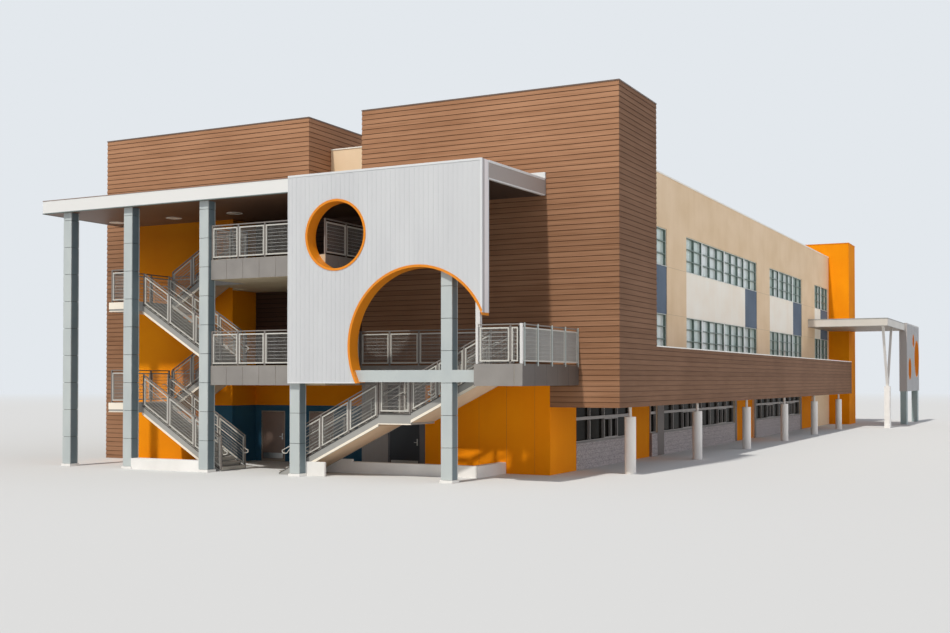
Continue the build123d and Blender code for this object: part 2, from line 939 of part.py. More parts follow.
# Guards
def guard_x(x0, x1, y, level):
    """A level guard along X: posts, handrail and bottom rail."""
    half = guard_post / 2
    count = max(2, round((x1 - x0) / guard_pitch) + 1)
    pitch = (x1 - x0 - guard_post) / (count - 1)
    parts = [
        block(x0, x1, y - half, y + half, level + guard_height - guard_rail, level + guard_height),
        block(x0, x1, y - half, y + half, level + guard_bottom_gap, level + guard_bottom_gap + guard_rail),
    ]
    for index in range(count):
        left = x0 + index * pitch
        parts.append(block(left, left + guard_post, y - half, y + half, level, level + guard_height))
    return fuse(parts)


def guard_y(y0, y1, x, level):
    """A level guard along Y."""
    along_x = guard_x(y0, y1, 0, level)
    return Pos(x, 0, 0) * Rot(0, 0, 90) * along_x


def sloped_guard(x_low, z_low, x_high, z_high, y0, y1):
    """A raking guard on a stringer: posts, handrail and bottom rail."""
    slope = (z_high - z_low) / (x_high - x_low)
    count = max(2, round(abs(x_high - x_low) / guard_pitch) + 1)
    width = math.copysign(guard_post, x_high - x_low)
    pitch = (x_high - x_low - width) / (count - 1)

    def rake(bottom, top):
        points = [(x_low, z_low + bottom), (x_high, z_high + bottom),
                  (x_high, z_high + top), (x_low, z_low + top)]
        return profile_xz(points, y0, y1)

    parts = [rake(stringer_rise + guard_bottom_gap, stringer_rise + guard_bottom_gap + guard_rail),
             rake(guard_height - guard_rail, guard_height)]
    for index in range(count):
        left = x_low + index * pitch
        right = left + width
        foot_left = z_low + (left - x_low) * slope
        foot_right = z_low + (right - x_low) * slope
        points = [(left, foot_left + stringer_rise), (right, foot_right + stringer_rise),
                  (right, foot_right + guard_height), (left, foot_left + guard_height)]
        parts.append(profile_xz(points, y0, y1))
    return fuse(parts)


def flight_guards(flights, width, first_start=0):
    """Guards of both sides of each flight; the first may start some way up from its foot."""
    guards = []
    for index, (x, z, step, rise, risers, near) in enumerate(flights):
        x_high = x + (risers - 1) * step - math.copysign(guard_end_gap, step)
        z_high = z + (risers - 1) * rise - guard_end_gap * rise / abs(step)
        far = near + width
        if index == 0:
            x += math.copysign(first_start, step)
            z += first_start * rise / abs(step)
        guards.append(sloped_guard(x, z, x_high, z_high, near, near + stringer_thickness))
        guards.append(sloped_guard(x, z, x_high, z_high, far - stringer_thickness, far))
    return guards


def left_stair_guards():
    guards = flight_guards(left_flights(), left_flight_width)
    left = landing_right - landing_length + guard_edge
    column_left = column_faces[1] - column_width
    near = front - column_front + column_width + guard_edge
    far = front - landing_back - guard_edge
    for base in (0, second_floor):
        level = base + landing_height
        guards.append(guard_x(left + guard_post, column_left - guard_end_gap, near, level))
        guards.append(guard_y(near + guard_post, far - guard_post, left, level))
        guards.append(guard_x(left + guard_post, landing_right - guard_end_gap, far, level))
    return guards


def right_stair_guards():
    guards = flight_guards(right_flights(), right_flight_width, right_guard_start)
    left = right_landing_left + guard_end_gap
    right = right_landing_right - guard_end_gap
    half = stringer_thickness / 2
    near = front - right_flight_near + half
    far = near + right_flight_width - stringer_thickness
    guards.append(guard_x(left, right, near, right_landing_level))
    guards.append(guard_x(left, right, far, right_landing_level))
    return guards


def deck_guards():
    inner_column = column_faces[2]
    screen_column = column_faces[3] - column_width
    edge = guard_edge
    near = front - deck_front + edge
    strip = front - stair_strip_depth + edge
    side = deck_edge_right - edge
    guards = []
    for level in (second_floor, third_floor):
        guards.append(guard_x(inner_column + guard_end_gap, screen_column - guard_end_gap, near, level))
        guards.append(guard_x(strip_left + guard_end_gap, inner_column - guard_end_gap, strip, level))
    top = third_floor
    guards.append(guard_y(near + edge + guard_post, strip - guard_post, inner_column + edge, top))
    guards.append(guard_y(screen_back + guard_end_gap, front - guard_end_gap, side, top))
    walk = front - walkway_depth + edge
    guards.append(guard_y(screen_back + guard_end_gap, walk - guard_post, side, second_floor))
    guards.append(guard_x(deck_edge_right, balcony_left - guard_end_gap, walk, second_floor))
    return guards


def balcony_guards():
    edge = guard_edge
    near = front - balcony_front + edge
    stair_near = front - right_flight_near
    stair_far = stair_near + right_flight_width
    left = balcony_left + edge
    right = balcony_right - edge
    level = second_floor
    front_guard = guard_x(left + guard_post, right - guard_post, near, level)
    side_guard = guard_y(near, front - guard_end_gap, right, level)
    return_guard = guard_y(stair_far + guard_end_gap, front - walkway_depth + 2 * edge, left, level)
    return [front_guard, side_guard, return_guard]


# Low walls on the ground
def low_walls():
    near = front - column_front
    bench = block(column_faces[1], column_faces[2] - column_width, near, near + bench_depth,
                  0, low_wall_height)
    base = column_base_overhang
    near = front - stair_low_wall_near
    planter = block(stair_low_wall_left, stair_low_wall_right, near, near + low_wall_thickness,
                    0, low_wall_height)
    planter += block(stair_low_wall_right - low_wall_thickness, stair_low_wall_right,
                     near, front, 0, low_wall_height)
    clear = [block(face - column_width - base, face + base, front - column_front - base,
                   front - column_front + column_width + base, 0, column_base_height)
             for face in column_faces[1:3]]
    for cut in clear:
        bench -= cut
    return [bench, planter]


# Entrance canopy, its support and screen
def entrance_roof():
    roof = block(block_side, canopy_right, front + canopy_start, canopy_end, canopy_bottom, canopy_top)
    return roof - block(far_tower_left, far_tower_right, rear, rear + far_tower_depth, 0, tower_top)


def entrance_support():
    right = canopy_right - pylon_inset
    left = right - pylon_width
    near = front + pylon_start
    far = near + pylon_length
    middle = (near + far) / 2
    centre = (left + right) / 2
    half = v_post_width / 2
    pieces = [block(left, right, near, far, 0, pylon_height)]
    for side in (-1, 1):
        foot = middle + side * half
        head = middle + side * v_post_spread
        points = [(foot - half, pylon_height), (foot + half, pylon_height),
                  (head + half, canopy_bottom), (head - half, canopy_bottom)]
        pieces.append(profile_yz(points, centre - half, centre + half))
    return fuse(pieces)


def entrance_screen_left():
    return canopy_right - entrance_screen_overlap


def entrance_screen():
    left = entrance_screen_left()
    right = left + entrance_screen_thickness
    near = canopy_end
    far = near + entrance_screen_length
    wall = block(left, right, near, far, entrance_screen_bottom, entrance_screen_top)
    for along, level, radius in entrance_holes:
        wall -= drum_x(near + along, level, radius, left, right)
    inset = entrance_leg_inset
    for start in (near, far - entrance_leg_length):
        wall += block(left + inset, right - inset, start, start + entrance_leg_length,
                      0, entrance_screen_bottom)
    return wall


def entrance_rims():
    left = entrance_screen_left()
    right = left + entrance_screen_thickness
    rims = []
    for along, level, radius in entrance_holes:
        ring = drum_x(canopy_end + along, level, radius, left, right + rim_projection)
        ring -= drum_x(canopy_end + along, level, radius - rim_thickness, left, right + rim_projection)
        rims.append(ring)
    return rims


os.makedirs("parts", exist_ok=True)

save("ground_slab", [ground_slab()])
save("second_floor_slab", [upper_floor(second_floor)])
save("third_floor_slab", [upper_floor(third_floor)])
save("main_roof_slab", [main_roof_slab()])
save("right_wall", [side_wall(front + orange_corner_length)])
save("left_wall", mirrored([side_wall(tower_back)]))
save("rear_wall", [rear_wall()])
save("pale_spandrels", pale_spandrels())
save("blue_spandrels", blue_spandrels())
save("upper_window_frames", upper_row(window_frame))
save("upper_window_glass", upper_row(window_glass))
save("ground_window_frames", ground_row(ground_window_frame))
save("ground_window_glass", ground_row(window_glass))
save("ground_block_walls", ground_block_walls())
save("orange_wall_panels", orange_wall_panels())
save("terrace_decks", terrace_decks())
save("terrace_bands", terrace_bands())
save("round_columns", round_columns())
save("right_tower_walls", [right_tower_walls()])
save("left_tower_walls", [left_tower_walls()])
save("tower_roofs", tower_roofs())
save("wall_caps", wall_caps())
save("tower_caps", tower_caps())
save("far_tower_cap", [far_tower_cap()])
save("far_tower", [far_tower()])
save("middle_front_wall", [middle_front_wall()])
save("orange_stair_wall", [orange_stair_wall()])
save("recess_side_wall", [recess_side_wall()])
save("recess_back_wall", [recess_back_wall()])
save("lobby_bulkhead", [lobby_bulkhead()])
save("lobby_wall", lobby_wall())
save("lobby_door_frames", [lobby_door_frame(left, right) for left, right in lobby_door_edges()])
save("lobby_door_left", [lobby_door(0)])
save("lobby_door_right", [lobby_door(1)])
save("tower_door", [tower_door()])
save("tower_door_surround", [tower_door_surround()])
save("ribbed_panel_wall", [ribbed_panel_wall()])
save("orange_front_wall", [orange_front_wall()])
save("screen_wall", [screen_wall()])
save("orange_rims", [round_window_rim(), arch_rim()])
save("screen_roof", [screen_roof()])
save("stair_roof", [stair_roof()])
save("front_columns", front_columns())
save("tie_beams", tie_beams())
save("second_floor_deck", [second_floor_deck()])
save("third_floor_deck", [third_floor_deck()])
save("balcony", [balcony()])
save("stair_treads", stair_treads(left_flights(), left_flight_width)
     + stair_treads(right_flights(), right_flight_width))
save("stair_stringers", stair_sides(left_flights(), left_flight_width)
     + stair_sides(right_flights(), right_flight_width))
save("stair_soffits", stair_soffits(left_flights(), left_flight_width)
     + stair_soffits(right_flights(), right_flight_width))
save("stair_landings", stair_landings())
save("left_stair_guards", left_stair_guards())
save("right_stair_guards", right_stair_guards())
save("deck_guards", deck_guards())
save("balcony_guards", balcony_guards())
save("low_walls", low_walls())
save("entrance_roof", [entrance_roof()])
save("entrance_support", [entrance_support()])
save("entrance_screen", [entrance_screen()])
save("entrance_rims", entrance_rims())
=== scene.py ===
"""School building, three storeys, at half size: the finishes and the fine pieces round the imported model."""

import math
import random

import bpy
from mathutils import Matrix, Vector


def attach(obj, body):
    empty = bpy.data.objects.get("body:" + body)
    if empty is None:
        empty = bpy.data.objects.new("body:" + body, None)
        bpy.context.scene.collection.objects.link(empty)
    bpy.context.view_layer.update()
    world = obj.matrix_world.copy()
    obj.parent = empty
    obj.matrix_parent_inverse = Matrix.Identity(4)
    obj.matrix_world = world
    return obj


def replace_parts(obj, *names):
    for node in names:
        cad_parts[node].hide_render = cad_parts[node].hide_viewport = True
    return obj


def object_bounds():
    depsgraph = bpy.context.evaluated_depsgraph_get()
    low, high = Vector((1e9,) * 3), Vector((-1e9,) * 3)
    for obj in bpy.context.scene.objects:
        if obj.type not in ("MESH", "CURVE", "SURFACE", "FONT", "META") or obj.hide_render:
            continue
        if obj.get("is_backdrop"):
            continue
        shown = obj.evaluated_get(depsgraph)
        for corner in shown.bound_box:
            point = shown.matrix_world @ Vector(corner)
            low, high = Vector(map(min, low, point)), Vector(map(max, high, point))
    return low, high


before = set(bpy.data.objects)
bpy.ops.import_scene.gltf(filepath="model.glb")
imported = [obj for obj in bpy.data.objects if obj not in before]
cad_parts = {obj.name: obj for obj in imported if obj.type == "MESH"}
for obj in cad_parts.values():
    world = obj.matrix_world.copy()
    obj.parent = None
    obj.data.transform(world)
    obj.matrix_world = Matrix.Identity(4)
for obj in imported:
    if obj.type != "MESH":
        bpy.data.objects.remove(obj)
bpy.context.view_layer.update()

# Ground slab and the floors above it. The real ones are steel-trowelled concrete, and outdoors the top is
# brushed across with a broom, which leaves it dull. Sizes in this file are millimetres of the half-size
# building.
MM = 0.001


def linear(colour):
    """An sRGB hex colour as the linear one that a shader takes."""
    channels = [int(colour[i:i + 2], 16) / 255 for i in (1, 3, 5)]
    return [c / 12.92 if c <= 0.04045 else ((c + 0.055) / 1.055) ** 2.4 for c in channels] + [1.0]


def add(tree, kind, inputs=None, out=0, **settings):
    """Adds a node with its settings, sets or links its inputs, and gives the output that is asked for."""
    made = tree.nodes.new("ShaderNode" + kind)
    for name, value in settings.items():
        setattr(made, name, value)
    for socket, value in (inputs or {}).items():
        if isinstance(value, bpy.types.NodeSocket):
            tree.links.new(value, made.inputs[socket])
        else:
            made.inputs[socket].default_value = value
    return made.outputs[out] if made.outputs else None


def empty_tree(name):
    """The node tree, without nodes, of a new material."""
    made = bpy.data.materials.new(name)
    made.use_nodes = True
    made.node_tree.nodes.clear()
    return made.node_tree


def surface(name, colour, roughness, bump=None, depth=0.0, tree=None, **gloss):
    """A material whose colour may be a hex value or a node's output, with relief from a bump output."""
    if tree is None:
        tree = empty_tree(name)
    paint = colour if isinstance(colour, bpy.types.NodeSocket) else linear(colour)
    inputs = {"Base Color": paint, "Roughness": roughness}
    inputs.update({socket.replace("_", " "): value for socket, value in gloss.items()})
    if bump is not None:
        inputs["Normal"] = add(tree, "Bump", {"Height": bump, "Strength": 0.6, "Distance": depth * MM})
    add(tree, "OutputMaterial", {"Surface": add(tree, "BsdfPrincipled", inputs)})
    return bpy.data.materials[name]


def grain(tree, size, stretch=(1, 1, 1), detail=3.0):
    """Soft irregular pattern whose patches are about size millimetres, longer where stretch is larger."""
    place = add(tree, "TexCoord", out="Object")
    scale = [1 / (size * MM * s) for s in stretch]
    spread = add(tree, "Mapping", {"Vector": place, "Scale": scale})
    return add(tree, "TexNoise", {"Vector": spread, "Scale": 1.0, "Detail": detail})


def shade(tree, factor, dark, light, low=0.3, high=0.7):
    """Colour that goes from dark to light as factor goes from low to high."""
    span = add(tree, "MapRange", {"Value": factor, "From Min": low, "From Max": high})
    dark, light = (c if isinstance(c, bpy.types.NodeSocket) else linear(c) for c in (dark, light))
    return add(tree, "Mix", {0: span, 6: dark, 7: light}, 2, data_type="RGBA")


def dress(material, *nodes):
    """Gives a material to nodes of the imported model."""
    for name in nodes:
        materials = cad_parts[name].data.materials
        materials.clear()
        materials.append(material)


def broomed_concrete(name, dark, light):
    """Cast concrete: dull, mottled in patches about 600 mm across, with broom lines drawn at 12 mm."""
    tree = empty_tree(name)
    patches = grain(tree, 600)
    lines = grain(tree, 12, (1, 30, 1), 2.0)
    return surface(name, shade(tree, patches, dark, light), 0.9, lines, 1.0, tree)


floor_concrete = broomed_concrete("broomed_concrete", "#9C968C", "#B3ADA3")
dress(floor_concrete, "ground_slab", "second_floor_slab", "third_floor_slab")

# Roofs. Rolls of white single-ply membrane 1.83 m wide are laid over boards, and each roll laps the next
# with a hot-air weld, which shows as a thin raised line. FRONT is the line of the front wall.
FRONT = -14775
TOWER_BACK = FRONT + 2220
REAR = 14775
MEMBRANE = "#B9B8B2"
ROLL, WELD = 915, (25, 4)
MAIN_ROOF, TOWER_ROOF = 6405, 7310
BETWEEN_TOWERS = (-830, 880)
SIX_SIDES = ((0, 3, 2, 1), (4, 5, 6, 7), (0, 1, 5, 4), (1, 2, 6, 5), (2, 3, 7, 6), (3, 0, 4, 7))


def solid(corner, a, b, c):
    """Eight corners of a block, or of a skewed one, from one corner and its three edges."""
    p, a, b, c = Vector(corner), Vector(a), Vector(b), Vector(c)
    if a.cross(b).dot(c) < 0:
        a, b = b, a
    return [p, p + a, p + a + b, p + b, p + c, p + a + c, p + a + b + c, p + b + c]


def block(x0, x1, y0, y1, z0, z1):
    """Eight corners of an upright block."""
    return solid((x0, y0, z0), (x1 - x0, 0, 0), (0, y1 - y0, 0), (0, 0, z1 - z0))


def stand(name, data):
    """A new object of the scene from its mesh, lamp or camera."""
    made = bpy.data.objects.new(name, data)
    bpy.context.scene.collection.objects.link(made)
    return made


def shape(name, points, faces, material, slot, body="building"):
    """One piece from its points in millimetres and its faces."""
    mesh = bpy.data.meshes.new(name)
    mesh.from_pydata([tuple(Vector(p) * MM) for p in points], [], faces)
    mesh.materials.append(material)
    piece = stand(name, mesh)
    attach(piece, body)
    return piece


def joined(name, parts, material, slot, body="building"):
    """One piece from parts that each have points and faces of their own."""
    points, faces = [], []
    for part_points, part_faces in parts:
        faces += [tuple(len(points) + k for k in face) for face in part_faces]
        points += part_points
    return shape(name, points, faces, material, slot, body)


def build(name, solids, material, slot, body="building", edge=0):
    """One piece from many blocks, with small bevels of that many millimetres on their edges."""
    piece = joined(name, [(corners, SIX_SIDES) for corners in solids], material, slot, body)
    if edge:
        bevel = piece.modifiers.new("edge", "BEVEL")
        bevel.width = edge * MM
        bevel.segments = 2
    return piece


def mirror(solids):
    """The same blocks on the other side of the building."""
    turned = []
    for corners in solids:
        flipped = [Vector((-p.x, p.y, p.z)) for p in corners]
        turned.append([flipped[k] for k in (1, 0, 3, 2, 5, 4, 7, 6)])
    return turned


tree = empty_tree("roof_membrane")
membrane = surface("roof_membrane", shade(tree, grain(tree, 900), MEMBRANE, "#CBCAC4"), 0.7,
                   grain(tree, 60), 1.5, tree)
dress(membrane, "main_roof_slab", "tower_roofs")
wide, thick = WELD
seams = [block(-4880, 4880, y, y + wide, MAIN_ROOF, MAIN_ROOF + thick)
         for y in range(TOWER_BACK + ROLL, REAR - 200, ROLL)]
seams += [block(x, x + wide, FRONT + 160, TOWER_BACK - 160, TOWER_ROOF, TOWER_ROOF + thick)
          for x in range(-5600, 6300, ROLL) if not BETWEEN_TOWERS[0] < x < BETWEEN_TOWERS[1]]
build("roof_seams", seams, membrane, "roof_membrane")

# Cream walls of the classroom block: cement stucco with an integral colour, floated with fine sand. Metal
# beads at the heads and sills of the windows split it into fields, so that it doesn't crack. Each window is
# given by its distance from the front wall and its length.
WALL_SIDE = 5040
UPPER_WINDOWS = ((3100, 4330), (9105, 7815), (18730, 5285), (26520, 2770))
REAR_WINDOW = (-1750, 4050)
BEAD_LEVELS = (3505, 4700)


def sanded(name, tree, paint, grit=8):
    """The dull surface that a sand float leaves; its sand is drawn at grit mm, coarser than it is."""
    return surface(name, paint, 0.92, grain(tree, grit, detail=1.0), 2.0, tree, Specular_IOR_Level=0.2)


def stucco(name, dark, light, grit=8):
    """Sand-float stucco, clouded over a metre or so and faintly streaked by rain."""
    tree = empty_tree(name)
    clouds = grain(tree, 1300, (1, 1, 0.7), 4.0)
    streaks = grain(tree, 160, (1, 1, 9), 2.0)
    both = add(tree, "Math", {0: streaks, 1: 0.3, 2: clouds}, operation="MULTIPLY_ADD")
    return sanded(name, tree, shade(tree, both, dark, light, 0.45, 0.85), grit)


cream = stucco("cream_sand_float_stucco", "#E6C9A3", "#F0D5B3")
dress(cream, "right_wall", "left_wall", "rear_wall", "middle_front_wall")
ends = [TOWER_BACK] + [FRONT + v for start, length in UPPER_WINDOWS for v in (start, start + length)] + [REAR]
beads = [block(WALL_SIDE, WALL_SIDE + 2, y0, y1, level - 5, level + 5)
         for level in BEAD_LEVELS for y0, y1 in zip(ends[::2], ends[1::2])]
beads += mirror(beads)
beads += [block(x0, x1, REAR, REAR + 2, level - 5, level + 5) for level in BEAD_LEVELS
          for x0, x1 in ((-WALL_SIDE, -REAR_WINDOW[1]), (-REAR_WINDOW[0], 1940))]
build("stucco_joint_beads", beads, surface("zinc_joint_bead", "#CBB08C", 0.6), "cream_stucco")

# Panels between the upper windows of two storeys: the same stucco in off-white, with a slate blue field
# at the far end of each.
dress(stucco("pale_sand_float_stucco", "#FBF0DE", "#FFF9EB"), "pale_spandrels")
dress(stucco("blue_sand_float_stucco", "#616E7D", "#6E7B8A"), "blue_spandrels")

# Upper windows: rows of aluminium frames, powder-coated an even satin grey-green, three panes high, in
# groups that wider white mullions join. The double glazing is tinted green, and its colour is drawn very
# pale as a painted reflection of the sky; pale roller blinds hang behind it.
FLOORS = (2135, 4270)
SILL_UP, HEAD_UP = 430, 1370
WINDOW_FACE = WALL_SIDE - 30
WIDE_MULLIONS = ((2, 4), (2, 5, 8), (2, 5), (2,))
frame_paint = surface("grey_green_powder_coat", "#6E8078", 0.45)
dress(frame_paint, "upper_window_frames")
tree = empty_tree("green_glass_painted_reflection")
# Painted reflection: the panes' near-white colour, clouded upright, stands for the sky reflected over a green
# tint.
panes = shade(tree, grain(tree, 700, (1, 1, 2.2), 0.0), "#CFE0D6", "#F0F6F1", 0.35, 0.65)
dress(surface("green_glass_painted_reflection", panes, 0.06, tree=tree, IOR=1.52, Transmission_Weight=0.15),
      "upper_window_glass")


def at_rear(solids):
    """Blocks of the right-hand wall, turned so that they stand in the rear wall."""
    return [[Vector((-p.y, p.x + REAR - WALL_SIDE, p.z)) for p in corners] for corners in solids]


def pane_edges(y0, y1, pitch):
    """Where the panes of a row begin, and where the last of them ends."""
    count = max(1, round((y1 - y0) / pitch))
    step = (y1 - y0 - 28) / count
    return [y0 + i * step for i in range(count + 1)]


def window_row(y0, y1, wide):
    """Bars, trims and blinds of a row of windows on both floors, from the numbers of its wider mullions."""
    bars, trims, blinds = [], [], []
    edges = pane_edges(y0, y1, 780)
    for floor in FLOORS:
        z0, z1 = floor + SILL_UP, floor + HEAD_UP
        third = (z1 - z0) / 3
        bars += [block(WINDOW_FACE - 50, WINDOW_FACE - 6, y0 + 20, y1 - 20, z - 11, z + 11)
                 for z in (z0 + third, z0 + 2 * third)]
        trims += [block(WINDOW_FACE - 10, WINDOW_FACE + 6, edges[k] - 24, edges[k] + 52, z0, z1)
                  for k in wide]
        trims += [block(WINDOW_FACE, WINDOW_FACE + 6, *edge)
                  for edge in ((y0, y1, z0, z0 + 18), (y0, y1, z1 - 14, z1), (y0, y0 + 16, z0 + 18, z1 - 14),
                               (y1 - 16, y1, z0 + 18, z1 - 14))]
        trims.append(block(WINDOW_FACE + 6, WALL_SIDE + 10, y0, y1, z0 - 2, z0 + 8))
        for k in range(len(edges) - 1):
            if random.random() < 0.8:
                drop = third * random.choice((1, 2, 2.9, 2.9))
                blinds.append(block(WINDOW_FACE - 108, WINDOW_FACE - 106, edges[k] + 34, edges[k + 1] - 6,
                                    z1 - drop, z1 - 6))
            if k % 3 == 1:
                sash = ((edges[k] + 30, edges[k] + 46), (edges[k + 1] - 18, edges[k + 1] - 2))
                bars += [block(WINDOW_FACE - 20, WINDOW_FACE - 2, a, b, z0 + 28, z0 + 2 * third - 22)
                         for a, b in sash]
    return bars, trims, blinds


random.seed(7)
side_rows = [window_row(FRONT + start, FRONT + start + length, wide)
             for (start, length), wide in zip(UPPER_WINDOWS, WIDE_MULLIONS)]
rear_row = window_row(*REAR_WINDOW, (2, 5))
bars, trims, blinds = (sum(side, []) + mirror(sum(side, [])) + at_rear(rear)
                       for side, rear in zip(zip(*side_rows), rear_row))
build("upper_window_bars", bars, frame_paint, "window_aluminium")
trim_paint = surface("white_powder_coat", "#EEF2EE", 0.45)
build("upper_window_trims", trims, trim_paint, "window_aluminium", edge=1.5)
build("window_blinds", blinds, surface("vinyl_blind", "#D8DAD2", 0.7), "pale_stucco")

# Ground storey windows: anodised aluminium with a deep transom, a few opening lights split in two, and
# glass so dark that the room behind hardly shows. They stand on a precast sill.
GROUND_WINDOWS = ((1350, 3400), (6200, 430), (7150, 6900), (16750, 6900))
SILL = 545
TRANSOM, TRANSOM_TOP = 1020, 1085
SASH_LOW = 593
grey_anodised = surface("grey_anodised_aluminium", "#A19B97", 0.42, Metallic=0.3)
dress(grey_anodised, "ground_window_frames")
dress(surface("dark_tinted_glass", "#15130F", 0.15, Specular_IOR_Level=0.02), "ground_window_glass")


def transom(y0, y1):
    """The deep bar between the panes and the opening lights below them."""
    return block(WINDOW_FACE - 58, WINDOW_FACE - 2, y0 + 20, y1 - 20, TRANSOM, TRANSOM_TOP)


def on_left(solids):
    """The same blocks on the left side, where the tower takes the place of the first ones."""
    return mirror([corners for corners in solids if corners[0].y > TOWER_BACK])


ground_bars, ground_sills = [], []
for start, length in GROUND_WINDOWS:
    y0, y1 = FRONT + start, FRONT + start + length
    edges = pane_edges(y0, y1, 860)
    ground_bars.append(transom(y0, y1))
    for k in range(2, len(edges) - 1, 4):
        middle = (edges[k] + edges[k + 1] + 28) / 2
        ground_bars.append(block(WINDOW_FACE - 50, WINDOW_FACE + 4, middle - 16, middle + 16,
                                 SASH_LOW, TRANSOM))
        ground_bars += [block(WINDOW_FACE, WINDOW_FACE + 4, edges[k] + 28, edges[k + 1], z, z + 22)
                        for z in (SASH_LOW, TRANSOM - 22)]
    ground_sills.append(block(WALL_SIDE - 26, WALL_SIDE + 22, y0, y1, SILL, SILL + 22))
build("ground_window_bars", ground_bars + on_left(ground_bars) + at_rear([transom(*REAR_WINDOW)]),
      grey_anodised, "grey_aluminium", edge=1.5)
build("ground_sills", ground_sills + on_left(ground_sills),
      broomed_concrete("precast_sill", "#8F8A86", "#A39E99"), "split_block", edge=2)

# Wall under those windows: ground-face concrete blocks, 400 by 200 mm, laid in running bond with raked
# joints. Cutting the face shows dark and light stones in grey-mauve cement.
JOINT, COURSE, UNIT = 6, 100, 200
tree = empty_tree("ground_face_block")
place = add(tree, "TexCoord", out="Object")
stones = add(tree, "TexVoronoi", {"Vector": place, "Scale": 60.0}, "Color")
tones = add(tree, "SeparateColor", {"Color": stones})
blocks_face = surface("ground_face_block", shade(tree, tones, "#887E7D", "#C9BFBC", 0.1, 0.8), 0.75,
                      grain(tree, 14, detail=1.0), 1.0, tree)
dress(surface("raked_mortar", "#857C7C", 0.95), "ground_block_walls")


def courses(y0, y1, top):
    """Block faces in running bond that stand 6 mm proud of the wall."""
    faces = []
    for row in range(math.ceil(top / COURSE)):
        z0 = row * COURSE
        z1 = min(z0 + COURSE - JOINT, top)
        y = y0 - (UNIT / 2 if row % 2 else 0)
        while y < y1:
            near, far = max(y, y0), min(y + UNIT - JOINT, y1)
            if far - near > 20 and z1 - z0 > 10:
                faces.append(block(WALL_SIDE - 2, WALL_SIDE + 6, near, far, z0, z1))
            y += UNIT
    return faces


laid = [s for start, length in GROUND_WINDOWS for s in courses(FRONT + start, FRONT + start + length, SILL)]
build("ground_face_blocks", laid + on_left(laid), blocks_face, "split_block")

# Piers between the ground storey openings are clad with flat dark composite panels, up to the underside of
# the terrace.
TERRACE_UNDER = 1325
PIERS = ((6630, 7150), (14050, 14300), (16500, 16750), (23650, 23900))
pier_faces = [block(WALL_SIDE, WALL_SIDE + 8, FRONT + a + 4, FRONT + b - 4, 4, TERRACE_UNDER - 3)
              for a, b in PIERS]
build("pier_panels", pier_faces + mirror(pier_faces), surface("dark_composite_panel", "#6B605B", 0.5),
      "grey_panel", edge=2)

# Orange walls: stucco again, with a strong paint. The front wall has upright joints every four feet, up to
# the underside of the deck, and its colour is drawn a little brighter, for the light thrown up at it from
# below.
UNDERSIDES = (1750, 3870)
ORANGE = ("#E88700", "#F29503")
dress(stucco("orange_sand_float_stucco", *ORANGE), "orange_wall_panels", "far_tower")
dress(stucco("lit_orange_stucco", "#F69002", "#FD9A06"), "orange_front_wall")
front_beads = [block(x, x + 7, FRONT - 2, FRONT, 0, UNDERSIDES[0] - 5) for x in range(2880, 4720, 610)]
build("orange_joint_beads", front_beads, surface("orange_joint_bead", "#D07C08", 0.6), "orange_stucco")

# Lobby at the back of the recess, and the stair wall beside it: navy paint up to a line, orange above it,
# both on the same stucco. High under the roof the colour is drawn darker, as painted shade.
NAVY = ("#2A546D", "#36647D")
PAINT_LINE, LOBBY_LEFT = 1280, -3200


def places(tree):
    """X, Y and Z of a point of the surface, in metres."""
    return add(tree, "SeparateXYZ", {0: add(tree, "TexCoord", out="Object")}).node.outputs


dress(stucco("navy_painted_stucco", *NAVY), "lobby_wall")
tree = empty_tree("two_colour_stucco")
place = places(tree)
above = add(tree, "Math", {0: place["Z"], 1: PAINT_LINE * MM}, operation="GREATER_THAN")
beside = add(tree, "Math", {0: place["X"], 1: LOBBY_LEFT * MM}, operation="LESS_THAN")
upper = add(tree, "Math", {0: above, 1: beside}, operation="MAXIMUM")
clouds = grain(tree, 1300, (1, 1, 0.7), 4.0)
paint = shade(tree, upper, shade(tree, clouds, *NAVY), shade(tree, clouds, *ORANGE), 0, 1)
# Painted shade: the colour darkens upwards under the roof, to 0.55 of its value above 5.2 m.
painted_roof_shade = add(tree, "MapRange", {"Value": place["Z"], "From Min": 3.6, "From Max": 5.2,
                                "To Min": 1.0, "To Max": 0.55})
paint = add(tree, "HueSaturation", {"Color": paint, "Value": painted_roof_shade})
dress(sanded("two_colour_stucco", tree, paint), "lobby_bulkhead", "orange_stair_wall")

# Doors: hollow steel leaves in dark bronze enamel, with lever handles and kick plates of brushed steel, in
# lighter frames. The tower door is nearly black, in a grey surround.
RECESS_FACE = FRONT + 850
dress(surface("dark_bronze_enamel", "#8A7468", 0.38), "lobby_door_left", "lobby_door_right")
dress(surface("bronze_frame_enamel", "#A79A8B", 0.42), "lobby_door_frames")
dress(surface("black_door_enamel", "#26292E", 0.38), "tower_door")
dress(surface("grey_frame_enamel", "#5E5C5E", 0.45), "tower_door_surround")
brushed = surface("brushed_stainless", "#B9B9B6", 0.34, Metallic=1.0)
for name, body, left, width, y in (("left", "left_door", -2506.06, 600, RECESS_FACE),
                                   ("right", "right_door", -1185.51, 600, RECESS_FACE),
                                   ("tower", "side_door", 1415, 700, FRONT)):
    handle = left + width - 45
    kick_plate = block(left + 25, left + width - 25, y - 2, y, 65, 190)
    back_plate = block(handle - 14, handle + 14, y - 3, y, 500, 640)
    neck = block(handle - 6, handle + 6, y - 28, y - 3, 560, 572)
    lever = block(handle - 60, handle + 8, y - 34, y - 24, 558, 574)
    build(f"{name}_door_furniture", [kick_plate, back_plate, neck, lever], brushed, "guard_steel", body,
          edge=1.5)

# Wall beside the tower door: grey steel sheet with upright ribs.
ribbed_steel = surface("grey_ribbed_steel", "#A8A09A", 0.45)
dress(ribbed_steel, "ribbed_panel_wall")
door_side_ribs = [block(x, x + 16, FRONT - 6, FRONT, 4, UNDERSIDES[0] - 4) for x in range(735, 1350, 40)]
build("door_side_ribs", door_side_ribs, ribbed_steel, "grey_panel")

